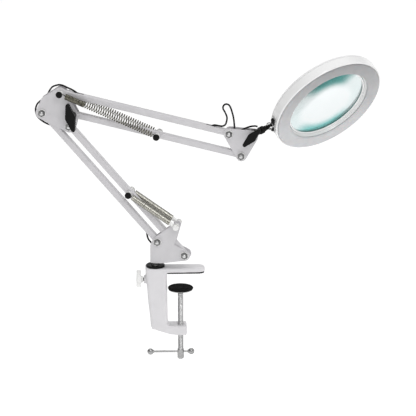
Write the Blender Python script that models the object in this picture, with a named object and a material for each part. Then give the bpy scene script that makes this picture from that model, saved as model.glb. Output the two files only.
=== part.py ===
"""Swing-arm magnifying lamp on a table clamp, built from separate solids.

Frame: +Z up, +X from the clamp's column into the table, origin on the underside of
the upper jaw's rubber, on the axis of the clamp screw.  The arm stands in a vertical
plane turned by SWIVEL_REST about the socket's axis.  Lengths are given in
millimetres and turned into metres where a shape is made.
"""
import math

import bmesh
import bpy
from mathutils import Matrix, Vector
from mathutils.geometry import convex_hull_2d

MM = 0.001

# ---------------------------------------------------------------- driving dimensions
SWIVEL_X = -37.3            # socket axis, behind the screw axis
SWIVEL_REST = -12.0         # degrees the arm is turned about the socket
FIT = 0.3                   # gap between neighbouring pieces

ARM_LENGTH = 257.0          # pivot to pivot on every bar
LOWER_ANGLE = 132.2         # lower bars above +X, degrees
UPPER_ANGLE = -11.1         # upper bars above +X, degrees
BAR_SIDE = 9.2              # square tube
BAR_WALL = 1.0
BAR_END = 6.2               # tube past its pivot
BOLT_R = 2.2
HOLE_R = 2.5

SHEET = 1.5                 # thickness of the pressed plates
SLOT_HALF = 5.0             # half the gap between a pair of plates
PLATE_OUT = SLOT_HALF + SHEET

SHOULDER = (4.5, 49.0)      # left pivot on the base bracket, from the socket axis
LOWER_LINK = (40.6, -18.7)  # from the left to the right pivot of the lower arm
BASE_ANCHOR = (33.1, 75.5)  # lower end of the lower springs
ELBOW_ANCHOR = (27.8, 32.0)  # top pivot of the elbow, from its left bolt
UPPER_LINK = (18.0, -32.8)  # from the top to the lower pivot of the upper arm
LOWER_POST_AT = 123.3       # spring post along the right lower bar
UPPER_POST_AT = 129.4       # spring post along the low upper bar
SPRING_Y = 12.0             # each spring's distance from the arm's plane
SPRING_R = 3.75

TILT_PIVOT = (35.8, 0.4)    # head's tilt bolt, from the head bracket's top bolt
STEM_ANGLE = 29.7           # stem above +X, degrees
STEM_LENGTH = 26.6          # tilt bolt to head pin
HEAD_RADIAL = (0.787, 0.555, 0.269)   # from the head pin to the lens axis
HEAD_FRONT = (0.592, -0.607, -0.531)   # the way the lit face looks
HEAD_R = 88.3
PIN_TO_LENS = 95.1

JAW_TOP = 9.0
THUMB_Z = -11.1             # axis of the thumb screw
SCREW_R = 4.0
PAD_TOP = -24.2
SCREW_END = -136.0
TOMMY_Z = -125.0
LEVER_R = 1.45

CABLE_R = 1.3
RUN_R = (7.8, 10.4)         # end radii of the hank's two nested turns
HANK_LAYERS = 5
HANK_X = -35.0
HANK_TOP = -4.0
HANK_RUN = 41.6
HANK_FRONT = 15.9
PLUG_X = HANK_X + RUN_R[0]

ROUND = 20                  # sides of a small round piece
HEAD_SIDES = 48


# ---------------------------------------------------------------- scene and materials
def clear_scene():
    for obj in list(bpy.data.objects):
        bpy.data.objects.remove(obj, do_unlink=True)


def material(name, rgb, roughness, metallic=0.0, alpha=1.0):
    made = bpy.data.materials.new(name)
    made.use_nodes = True
    shader = made.node_tree.nodes["Principled BSDF"]
    shader.inputs["Base Color"].default_value = (*rgb, 1.0)
    shader.inputs["Roughness"].default_value = roughness
    shader.inputs["Metallic"].default_value = metallic
    shader.inputs["Alpha"].default_value = alpha
    return made


def make_materials():
    return {
        "white_paint": material("white_paint", (0.74, 0.74, 0.75), 0.35),
        "white_abs": material("white_abs", (0.82, 0.82, 0.83), 0.22),
        "diffuser": material("diffuser", (0.60, 0.60, 0.61), 0.45),
        "glass": material("glass", (0.80, 0.93, 0.92), 0.03, 0.0, 0.35),
        "black_plastic": material("black_plastic", (0.02, 0.02, 0.022), 0.45),
        "rubber": material("rubber", (0.015, 0.015, 0.016), 0.8),
        "chrome": material("chrome", (0.75, 0.75, 0.76), 0.12, 1.0),
        "steel": material("steel", (0.55, 0.55, 0.56), 0.3, 1.0),
        "spring_steel": material("spring_steel", (0.50, 0.49, 0.45), 0.32, 1.0),
        "pale_knob": material("pale_knob", (0.80, 0.80, 0.78), 0.25),
        "cable": material("cable", (0.02, 0.02, 0.022), 0.55),
        "board": material("board", (0.75, 0.76, 0.74), 0.6),
    }


# ---------------------------------------------------------------- frames
def frame(name, parent=None, at=(0.0, 0.0, 0.0), turn=None):
    """An empty at a joint; turn is a rotation matrix or an angle about Y in degrees."""
    empty = bpy.data.objects.new(name, None)
    empty.empty_display_size = 0.01
    bpy.context.scene.collection.objects.link(empty)
    empty.parent = parent
    empty.location = Vector(at) * MM
    if isinstance(turn, Matrix):
        empty.rotation_euler = turn.to_euler()
    elif turn is not None:
        empty.rotation_euler = (0.0, -math.radians(turn), 0.0)
    return empty


def along(angle, distance):
    return (distance * math.cos(math.radians(angle)), distance * math.sin(math.radians(angle)))


def plus(a, b):
    return (a[0] + b[0], a[1] + b[1])


# ---------------------------------------------------------------- solids
def place(name, bm, paint, parent, cutter=False, sharp=35):
    bmesh.ops.scale(bm, vec=(MM, MM, MM), verts=bm.verts)
    bmesh.ops.recalc_face_normals(bm, faces=bm.faces)
    mesh = bpy.data.meshes.new(name)
    bm.to_mesh(mesh)
    bm.free()
    if paint is not None:
        mesh.materials.append(paint)
    mesh.shade_smooth()
    mesh.set_sharp_from_angle(angle=math.radians(sharp))
    obj = bpy.data.objects.new(name, mesh)
    bpy.context.scene.collection.objects.link(obj)
    obj.parent = parent
    if cutter:
        obj.hide_render = True
        obj.display_type = "WIRE"
    return obj


def lathe(profile, sides=ROUND):
    """Turns a closed (radius, height) profile about Z."""
    bm = bmesh.new()
    rings = []
    for radius, height in profile:
        if radius < 1e-6:
            rings.append([bm.verts.new((0.0, 0.0, height))] * sides)
            continue
        ring = []
        for i in range(sides):
            a = 2.0 * math.pi * i / sides
            ring.append(bm.verts.new((radius * math.cos(a), radius * math.sin(a), height)))
        rings.append(ring)
    for k, low in enumerate(rings):
        high = rings[(k + 1) % len(rings)]
        for i in range(sides):
            j = (i + 1) % sides
            corners = []
            for vert in (low[i], low[j], high[j], high[i]):
                if vert not in corners:
                    corners.append(vert)
            if len(corners) > 2:
                bm.faces.new(corners)
    return bm


def lathe_y(profile, sides=ROUND):
    """The same about Y: the profile's heights run along +Y."""
    bm = lathe(profile, sides)
    bmesh.ops.rotate(bm, matrix=Matrix.Rotation(-math.pi / 2, 3, "X"), verts=bm.verts)
    return bm


def lathe_x(profile, sides=ROUND):
    """The same about X: the profile's heights run along +X."""
    bm = lathe(profile, sides)
    bmesh.ops.rotate(bm, matrix=Matrix.Rotation(math.pi / 2, 3, "Y"), verts=bm.verts)
    return bm


def cylinder(radius, low, high):
    return [(0.0, low), (radius, low), (radius, high), (0.0, high)]


def moved(bm, x, y, z):
    bmesh.ops.translate(bm, vec=(x, y, z), verts=bm.verts)
    return bm


def prism(outline, low, high, axis="Y"):
    """Extrudes an outline: (x, z) points along Y, or (x, y) points along Z."""
    bm = bmesh.new()
    layers = []
    for depth in (low, high):
        if axis == "Y":
            layers.append([bm.verts.new((x, depth, z)) for x, z in outline])
        else:
            layers.append([bm.verts.new((x, y, depth)) for x, y in outline])
    count = len(outline)
    bm.faces.new(layers[0])
    bm.faces.new(list(reversed(layers[1])))
    for i in range(count):
        j = (i + 1) % count
        bm.faces.new((layers[0][i], layers[1][i], layers[1][j], layers[0][j]))
    return bm


def block(x, y, z):
    """A box between the given pairs of limits."""
    corners = [(x[0], z[0]), (x[1], z[0]), (x[1], z[1]), (x[0], z[1])]
    return prism(corners, y[0], y[1])


def loft(sections):
    """Joins equal-length rings of points, and closes both ends."""
    bm = bmesh.new()
    rings = [[bm.verts.new(p) for p in section] for section in sections]
    for low, high in zip(rings, rings[1:]):
        for i in range(len(low)):
            j = (i + 1) % len(low)
            bm.faces.new((low[i], low[j], high[j], high[i]))
    bm.faces.new(list(reversed(rings[0])))
    bm.faces.new(rings[-1])
    return bm


def arc(centre, radius, first, last, steps):
    """Points on an arc, angles in degrees."""
    points = []
    for i in range(steps + 1):
        a = math.radians(first + (last - first) * i / steps)
        points.append((centre[0] + radius * math.cos(a), centre[1] + radius * math.sin(a)))
    return points


def hull(circles, steps=20):
    """The outline that a taut band round some (x, z, radius) circles makes."""
    points = []
    for x, z, radius in circles:
        points += arc((x, z), radius, 0.0, 360.0 * (steps - 1) / steps, steps - 1)
    return [points[i] for i in convex_hull_2d([Vector(p) for p in points])]


def rounded_rectangle(x, y, radius, steps=4):
    corners = [(x[1], y[1], 0), (x[0], y[1], 90), (x[0], y[0], 180), (x[1], y[0], 270)]
    outline = []
    for cx, cy, first in corners:
        inset_x = cx - math.copysign(radius, cx - (x[0] + x[1]) / 2)
        inset_y = cy - math.copysign(radius, cy - (y[0] + y[1]) / 2)
        outline += arc((inset_x, inset_y), radius, first, first + 90, steps)
    return outline


def boolean(obj, other, operation="DIFFERENCE"):
    cut = obj.modifiers.new(operation.lower(), "BOOLEAN")
    cut.operation = operation
    cut.solver = "EXACT"
    cut.object = other


def cut(obj, bm, parent):
    """Takes a hidden cutter's shape away from obj."""
    boolean(obj, place(f"{obj.name}_cut", bm, None, parent, cutter=True))


def join(obj, bm, parent):
    """Adds a hidden guide's shape to obj."""
    boolean(obj, place(f"{obj.name}_add", bm, None, parent, cutter=True), "UNION")


def bolt_holes(obj, parent, spots, radius=HOLE_R, reach=20.0):
    for x, z in spots:
        cut(obj, moved(lathe_y(cylinder(radius, -reach, reach), 16), x, 0.0, z), parent)


def smooth_route(points, spacing):
    """Evenly spaced points on a Catmull-Rom curve through the given ones."""
    knots = [Vector(p) for p in points]
    knots = [2 * knots[0] - knots[1], *knots, 2 * knots[-1] - knots[-2]]
    fine = []
    for a, b, c, d in zip(knots, knots[1:], knots[2:], knots[3:]):
        for i in range(24):
            t = i / 24
            linear = (c - a) * t
            square = (2 * a - 5 * b + 4 * c - d) * t * t
            cube = (3 * b - a - 3 * c + d) * t * t * t
            fine.append((2 * b + linear + square + cube) / 2)
    fine.append(knots[-2])
    total = sum((q - p).length for p, q in zip(fine, fine[1:]))
    count = max(2, round(total / spacing))
    step = total / count
    route, walked = [fine[0]], 0.0
    for p, q in zip(fine, fine[1:]):
        length = (q - p).length
        while len(route) < count and walked + length >= step * len(route):
            t = (step * len(route) - walked) / length
            route.append(p.lerp(q, t))
        walked += length
    return [*route, fine[-1]]


def cable(name, points, paint, parent, radius=CABLE_R):
    """A round cable: a bevelled curve through a smooth route, with closed ends."""
    curve = bpy.data.curves.new(name, "CURVE")
    curve.dimensions = "3D"
    curve.bevel_depth = radius * MM
    curve.bevel_resolution = 1
    curve.use_fill_caps = True
    route = smooth_route(points, 2.4 * 2 * radius)
    spline = curve.splines.new("POLY")
    spline.points.add(len(route) - 1)
    for knot, place_at in zip(spline.points, route):
        knot.co = (*(place_at * MM), 1.0)
    curve.materials.append(paint)
    obj = bpy.data.objects.new(name, curve)
    bpy.context.scene.collection.objects.link(obj)
    obj.parent = parent
    return obj


# ---------------------------------------------------------------- table clamp
def clamp_body(paints):
    column = []
    for z, left, right, half, radius in (
        (JAW_TOP, -51.4, -21.0, 13.4, 5.0),
        (JAW_TOP - 1.2, -52.4, -20.5, 14.0, 5.0),
        (-40.0, -48.6, -19.8, 13.2, 5.0),
        (-82.0, -44.2, -19.0, 12.0, 4.0),
        (-86.5, -43.0, -19.0, 11.6, 4.0),
    ):
        outline = rounded_rectangle((left, right), (-half, half), radius)
        column.append([(x, y, z) for x, y in outline])
    body = place("clamp_body", loft(column), paints["white_paint"], None)

    tip = hull([(-30.0, 11.0, 1.5), (-30.0, -11.0, 1.5), (27.0, 1.6, 9.0), (27.0, -1.6, 9.0)], 24)
    sections = []
    for z, inset in ((2.0, 0.0), (6.6, 0.0), (8.2, 0.6), (JAW_TOP, 2.2)):
        shrink = 1.0 - inset / 12.0
        sections.append([(x - max(0.0, x) * inset / 36.0, y * shrink, z) for x, y in tip])
    join(body, loft(sections), None)

    foot = [(-30.0, -78.0), (-44.2, -78.0), (-43.8, -82.0)]
    foot += arc((-40.0, -81.4), 4.0, 190.0, 245.0, 4)
    foot += [(-28.0, -90.6), (-15.0, -94.6), (-4.0, -95.7)]
    foot += arc((6.7, -93.2), 2.5, 270.0, 360.0, 4)
    foot += arc((7.4, -83.2), 1.8, 0.0, 90.0, 3)
    foot += [(-17.0, -81.4), (-19.0, -79.4), (-19.0, -78.0)]
    join(body, prism(foot, -12.0, 12.0), None)

    socket = lathe(cylinder(8.0, -46.0, 20.0))
    cut(body, moved(socket, SWIVEL_X, 0.0, 0.0), None)
    cut(body, lathe(cylinder(SCREW_R + FIT, -110.0, -70.0)), None)
    cut(body, moved(lathe_x(cylinder(3.2, -70.0, SWIVEL_X - 7.0), 16), 0.0, 0.0, THUMB_Z), None)


def jaw_pad(paints):
    outline = hull([(-18.5, 8.7, 1.5), (-18.5, -8.7, 1.5), (26.5, 1.6, 8.2), (26.5, -1.6, 8.2)], 24)
    place("jaw_pad", prism(outline, 0.0, 2.0 - FIT, "Z"), paints["rubber"], None)


def socket_bush(paints):
    profile = [(6.3, -45.0), (7.7, -45.0), (7.7, JAW_TOP + FIT), (14.0, JAW_TOP + FIT)]
    profile += [(14.0, 11.2), (13.2, 12.0), (6.3, 12.0)]
    at = frame("socket_axis", None, (SWIVEL_X, 0.0, 0.0))
    bush = place("socket_bush", lathe(profile, 24), paints["black_plastic"], at)
    hole = lathe_x(cylinder(3.2, -20.0, -5.0), 16)
    cut(bush, moved(hole, 0.0, 0.0, THUMB_Z), at)


def thumb_screw(paints):
    at = frame("thumb_screw_axis", None, (-62.0, 0.0, THUMB_Z))
    lobes = 5
    outline = []
    for i in range(50):
        a = 2.0 * math.pi * i / 50
        radius = 12.4 + 1.6 * math.cos(lobes * a)
        outline.append((radius * math.cos(a), radius * math.sin(a)))
    grip = prism(outline, -3.2, 3.2, "Z")
    bmesh.ops.rotate(grip, matrix=Matrix.Rotation(math.pi / 2, 3, "Y"), verts=grip.verts)
    knob = place("thumb_knob", grip, paints["pale_knob"], at)
    join(knob, lathe_x([(0.0, 2.0), (5.6, 2.0), (4.6, 6.6), (0.0, 6.6)]), at)
    cut(knob, lathe_x(cylinder(3.2, -1.2, 9.0), 16), at)
    tip = SWIVEL_X - 6.0 - FIT + 62.0
    place("thumb_stud", lathe_x(cylinder(2.9, -0.9, tip), 16), paints["steel"], at)


def clamp_screw(paints):
    at = frame("screw_axis")
    profile = [(0.0, SCREW_END), (3.2, SCREW_END), (4.6, SCREW_END + 1.4), (4.6, -121.2)]
    profile += [(SCREW_R, -120.4), (SCREW_R, -32.6), (2.6, -31.8), (2.6, -29.0), (0.0, -29.0)]
    screw = place("clamp_screw", lathe(profile), paints["steel"], at)
    cut(screw, moved(lathe_x(cylinder(LEVER_R + FIT, -9.0, 9.0), 16), 0.0, 0.0, TOMMY_Z), at)

    dish = [(2.9, -31.5), (6.0, -31.5), (8.0, -29.6), (18.0, -27.4), (18.0, -26.4)]
    dish += [(2.9, -26.4)]
    place("pad_dish", lathe(dish, 24), paints["steel"], at)
    rubber = [(0.0, -26.1), (18.3, -26.1), (18.8, -25.4), (18.8, -24.7), (18.3, PAD_TOP)]
    place("pad_rubber", lathe([*rubber, (0.0, PAD_TOP)], 24), paints["rubber"], at)

    lever = frame("lever_slide", at, (0.0, 0.0, TOMMY_Z))
    ends = (-45.0, 15.7)
    rod = lathe_x(cylinder(LEVER_R, ends[0] - 2.0, ends[1] + 2.0), 16)
    place("tommy_rod", rod, paints["steel"], lever)
    for side, x in zip(("left", "right"), ends):
        ball = bmesh.new()
        bmesh.ops.create_uvsphere(ball, u_segments=12, v_segments=8, radius=4.6)
        bead = place(f"tommy_ball_{side}", moved(ball, x, 0.0, 0.0), paints["steel"], lever)
        cut(bead, lathe_x(cylinder(LEVER_R + FIT, ends[0] - 2.4, ends[1] + 2.4), 16), lever)


# ---------------------------------------------------------------- small arm pieces
def through_bolt(name, x, z, paint, parent, head=5.4):
    """A bolt along Y with its head in front and its nut behind the plates."""
    near, far = PLATE_OUT + FIT, PLATE_OUT + FIT + 3.6
    profile = [(0.0, -far - 0.6), (head * 0.6, -far - 0.6), (head, -far + 0.6), (head, -near)]
    profile += [(BOLT_R, -near), (BOLT_R, near), (head, near), (head, far - 0.6)]
    profile += [(head * 0.6, far + 0.6), (0.0, far + 0.6)]
    place(name, moved(lathe_y(profile, 12), x, 0.0, z), paint, parent)


def spring_post(name, x, z, paint, parent):
    """A grooved post that carries a spring's hook on each side of the arm."""
    half = [(0.0, 18.4), (3.0, 18.4), (4.5, 17.2), (4.5, 14.4), (BOLT_R, 14.4)]
    half += [(BOLT_R, 9.6), (4.2, 9.6), (4.2, PLATE_OUT + FIT), (BOLT_R, PLATE_OUT + FIT)]
    profile = [(r, -y) for r, y in half] + [(r, y) for r, y in reversed(half)]
    place(name, moved(lathe_y(profile, 12), x, 0.0, z), paint, parent)


def wing_knob(name, boss_base, height, length, half_width, paint, parent, x, z, lean):
    """A two-winged knob in front of the plates, boss_base and height along -Y."""
    reach = length / 2 - 3.0
    tips = [along(lean, reach), along(lean, -reach)]
    outline = hull([(0.0, 0.0, half_width), (*tips[0], 3.0), (*tips[1], 3.0)], 20)
    wings = moved(prism(outline, -height, -boss_base - 9.6), x, 0.0, z)
    knob = place(name, wings, paint, parent)
    boss = [(0.0, -height + 2.0), (half_width - 2.0, -height + 2.0)]
    boss += [(half_width - 1.6, -boss_base), (0.0, -boss_base)]
    join(knob, moved(lathe_y(boss), x, 0.0, z), parent)
    bore = lathe_y(cylinder(HOLE_R, -boss_base - 9.0, 0.0), 16)
    cut(knob, moved(bore, x, 0.0, z), parent)


def knob_bolt(name, x, z, paint, parent):
    """A bolt whose shank ends inside the wing knob in front."""
    near, far = PLATE_OUT + FIT, PLATE_OUT + FIT + 3.6
    profile = [(0.0, -near - 8.0), (BOLT_R, -near - 8.0), (BOLT_R, near), (5.4, near)]
    profile += [(5.4, far - 0.6), (3.2, far + 0.6), (0.0, far + 0.6)]
    place(name, moved(lathe_y(profile, 16), x, 0.0, z), paint, parent)


def square_bar(name, paints, pivot, post_at=None, slots=()):
    """A square tube from its pivot along local +X, with pivot and post holes."""
    half = BAR_SIDE / 2
    ends = (-BAR_END, ARM_LENGTH + BAR_END)
    section = rounded_rectangle((-half, half), (-half, half), 1.0, 2)
    bar = loft([[(x, y, z) for y, z in section] for x in ends])
    tube = place(name, bar, paints["white_paint"], pivot)
    inner = half - BAR_WALL
    cut(tube, block((ends[0] - 2, ends[1] + 2), (-inner, inner), (-inner, inner)), pivot)
    holes = [(0.0, 0.0), (ARM_LENGTH, 0.0)]
    if post_at is not None:
        holes.append((post_at, 0.0))
    bolt_holes(tube, pivot, holes)
    for low, high, side in slots:
        reach = sorted((side * (inner - 0.5), side * (half + 2.0)))
        cut(tube, block((low, high), (-1.9, 1.9), reach), pivot)
    return tube


def spring(name, start, end, y, paint, parent, hooks=(11.0, 11.0)):
    """The coils of a tension spring between two posts, as a plain closed cylinder."""
    a = Vector((start[0], y, start[1]))
    b = Vector((end[0], y, end[1]))
    way = (b - a).normalized()
    a = a + way * hooks[0]
    b = b - way * hooks[1]
    body = lathe(cylinder(SPRING_R, 0.0, (b - a).length), 16)
    turn = way.to_track_quat("Z", "Y").to_matrix()
    bmesh.ops.rotate(body, matrix=turn, verts=body.verts)
    place(name, moved(body, *a), paint, parent)


# ---------------------------------------------------------------- base bracket
def base_bracket(paints, arm):
    right = plus(SHOULDER, LOWER_LINK)
    lower = hull([(-4.5, 18.0, 2.0), (-4.5, 43.0, 2.0), (*SHOULDER, 8.0), (*right, 8.0), (8.0, 18.0, 2.0)])
    bracket = place("base_bracket", prism(lower, -PLATE_OUT, PLATE_OUT), paints["white_paint"], arm)
    upper = hull([(*SHOULDER, 8.0), (*BASE_ANCHOR, 6.6), (24.0, 44.0, 5.0), (8.0, 34.0, 4.0)])
    join(bracket, prism(upper, -PLATE_OUT, PLATE_OUT), arm)
    cut(bracket, block((-SLOT_HALF, 90.0), (-SLOT_HALF, SLOT_HALF), (0.0, 99.0)), arm)
    cut(bracket, block((-20.0, -2.0), (-SLOT_HALF, SLOT_HALF), (44.6, 99.0)), arm)
    bolt_holes(bracket, arm, [SHOULDER, right])
    bolt_holes(bracket, arm, [BASE_ANCHOR], 2.2)

    pin = [(0.0, -44.0), (5.0, -44.0), (6.0, -43.0), (6.0, 15.7), (4.7, 15.7)]
    pin += [(4.7, 40.5), (3.9, 41.3), (0.0, 41.3)]
    place("swivel_pin", lathe(pin), paints["chrome"], arm)
    through_bolt("base_bolt_left", *SHOULDER, paints["chrome"], arm)
    through_bolt("base_bolt_right", *right, paints["chrome"], arm)
    for name, side in (("base_stud_front", -1), ("base_stud_rear", 1)):
        stud = [(0.0, 17.4), (3.0, 17.4), (4.4, 16.2), (4.4, 14.4), (1.9, 14.4), (1.9, 9.6)]
        stud += [(4.2, 9.6), (4.2, PLATE_OUT + FIT), (1.9, PLATE_OUT + FIT), (1.9, 5.3), (0.0, 5.3)]
        shape = lathe_y([(r, side * y) for r, y in stud], 12)
        place(name, moved(shape, BASE_ANCHOR[0], 0.0, BASE_ANCHOR[1]), paints["pale_knob"], arm)
    clip = block((-1.0, 6.0), (PLATE_OUT + FIT, 10.6), (35.0, 41.0))
    place("lead_clip", clip, paints["black_plastic"], arm)


# ---------------------------------------------------------------- arm
def lower_arm(paints, arm):
    left = frame("lower_left_pivot", arm, (SHOULDER[0], 0.0, SHOULDER[1]), LOWER_ANGLE)
    square_bar("lower_bar_left", paints, left, None, [(16.0, 29.0, 1), (220.0, 238.0, 1)])
    right_at = plus(SHOULDER, LOWER_LINK)
    right = frame("lower_right_pivot", arm, (right_at[0], 0.0, right_at[1]), LOWER_ANGLE)
    square_bar("lower_bar_right", paints, right, LOWER_POST_AT)
    spring_post("lower_spring_post", LOWER_POST_AT, 0.0, paints["black_plastic"], right)
    post = plus(right_at, along(LOWER_ANGLE, LOWER_POST_AT))
    for name, side in (("lower_spring_front", -1), ("lower_spring_rear", 1)):
        spring(name, BASE_ANCHOR, post, side * SPRING_Y, paints["spring_steel"], arm)


def elbow(paints, at):
    low_pivot = plus(ELBOW_ANCHOR, UPPER_LINK)
    circles = [(0.0, 0.0, 9.5), (*LOWER_LINK, 9.2), (*ELBOW_ANCHOR, 8.6), (3.6, 19.6, 5.0)]
    circles.append((*low_pivot, 8.4))
    outline = hull(circles)
    for name, low, high in (("front", -PLATE_OUT, -SLOT_HALF), ("rear", SLOT_HALF, PLATE_OUT)):
        plate = place(f"elbow_plate_{name}", prism(outline, low, high), paints["white_paint"], at)
        bolt_holes(plate, at, [(0.0, 0.0), LOWER_LINK, ELBOW_ANCHOR, low_pivot])
    through_bolt("elbow_bolt_left", 0.0, 0.0, paints["chrome"], at)
    through_bolt("elbow_bolt_right", *LOWER_LINK, paints["chrome"], at)
    spring_post("elbow_spring_post", *ELBOW_ANCHOR, paints["black_plastic"], at)
    knob_bolt("elbow_knob_bolt", *low_pivot, paints["chrome"], at)
    knob_at = frame("elbow_knob_axis", at, (low_pivot[0], 0.0, low_pivot[1]))
    size = (PLATE_OUT + FIT, 25.0, 43.0, 7.8)
    wing_knob("elbow_knob", *size, paints["black_plastic"], knob_at, 0.0, 0.0, 102.8)


def upper_arm(paints, elbow_at):
    top = frame("upper_top_pivot", elbow_at, (ELBOW_ANCHOR[0], 0.0, ELBOW_ANCHOR[1]), UPPER_ANGLE)
    slots = [(18.0, 34.0, 1), (ARM_LENGTH - 37.0, ARM_LENGTH - 22.0, 1)]
    square_bar("upper_bar_top", paints, top, None, slots)
    low_at = plus(ELBOW_ANCHOR, UPPER_LINK)
    low = frame("upper_low_pivot", elbow_at, (low_at[0], 0.0, low_at[1]), UPPER_ANGLE)
    square_bar("upper_bar_low", paints, low, UPPER_POST_AT)
    spring_post("upper_spring_post", UPPER_POST_AT, 0.0, paints["black_plastic"], low)
    post = plus(low_at, along(UPPER_ANGLE, UPPER_POST_AT))
    for name, side in (("upper_spring_front", -1), ("upper_spring_rear", 1)):
        wire = paints["spring_steel"]
        spring(name, ELBOW_ANCHOR, post, side * SPRING_Y, wire, elbow_at, (12.0, 8.0))


def head_bracket(paints, at):
    circles = [(0.0, 0.0, 8.4), (*UPPER_LINK, 8.0), (*TILT_PIVOT, 6.4), (35.0, -8.2, 5.2)]
    outline = hull(circles)
    for name, low, high in (("front", -PLATE_OUT, -SLOT_HALF), ("rear", SLOT_HALF, PLATE_OUT)):
        plate = place(f"head_plate_{name}", prism(outline, low, high), paints["white_paint"], at)
        bolt_holes(plate, at, [(0.0, 0.0), UPPER_LINK, TILT_PIVOT])
    through_bolt("head_bolt_top", 0.0, 0.0, paints["chrome"], at)
    through_bolt("head_bolt_low", *UPPER_LINK, paints["chrome"], at)
    knob_bolt("tilt_bolt", *TILT_PIVOT, paints["chrome"], at)
    knob_at = frame("head_knob_axis", at, (TILT_PIVOT[0], 0.0, TILT_PIVOT[1]))
    size = (PLATE_OUT + FIT, 23.0, 37.0, 6.6)
    wing_knob("head_knob", *size, paints["black_plastic"], knob_at, 0.0, 0.0, 47.5)


def head_joint(paints, head_at):
    """The knuckle between the plates and the stem that turns in its nose."""
    knuckle_at = frame("tilt_axis", head_at, (TILT_PIVOT[0], 0.0, TILT_PIVOT[1]), STEM_ANGLE)
    eye = lathe_y(cylinder(6.0, -SLOT_HALF + FIT, SLOT_HALF - FIT))
    knuckle = place("tilt_knuckle", eye, paints["black_plastic"], knuckle_at)
    join(knuckle, lathe_x([(0.0, 2.0), (4.6, 2.0), (4.6, 8.4), (5.6, 9.4), (5.6, 13.4), (0.0, 13.4)]), knuckle_at)
    bolt_holes(knuckle, knuckle_at, [(0.0, 0.0)])
    cut(knuckle, lathe_x(cylinder(2.9, 7.6, 15.0), 16), knuckle_at)

    stem_at = frame("stem_axis", knuckle_at)
    profile = [(0.0, 8.2), (2.6, 8.2), (2.6, 13.7), (5.6, 13.7), (5.6, 16.0), (4.2, 17.4)]
    profile += [(3.6, 21.7), (0.0, 21.7)]
    stem = place("head_stem", lathe_x(profile), paints["black_plastic"], stem_at)
    return stem


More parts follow.
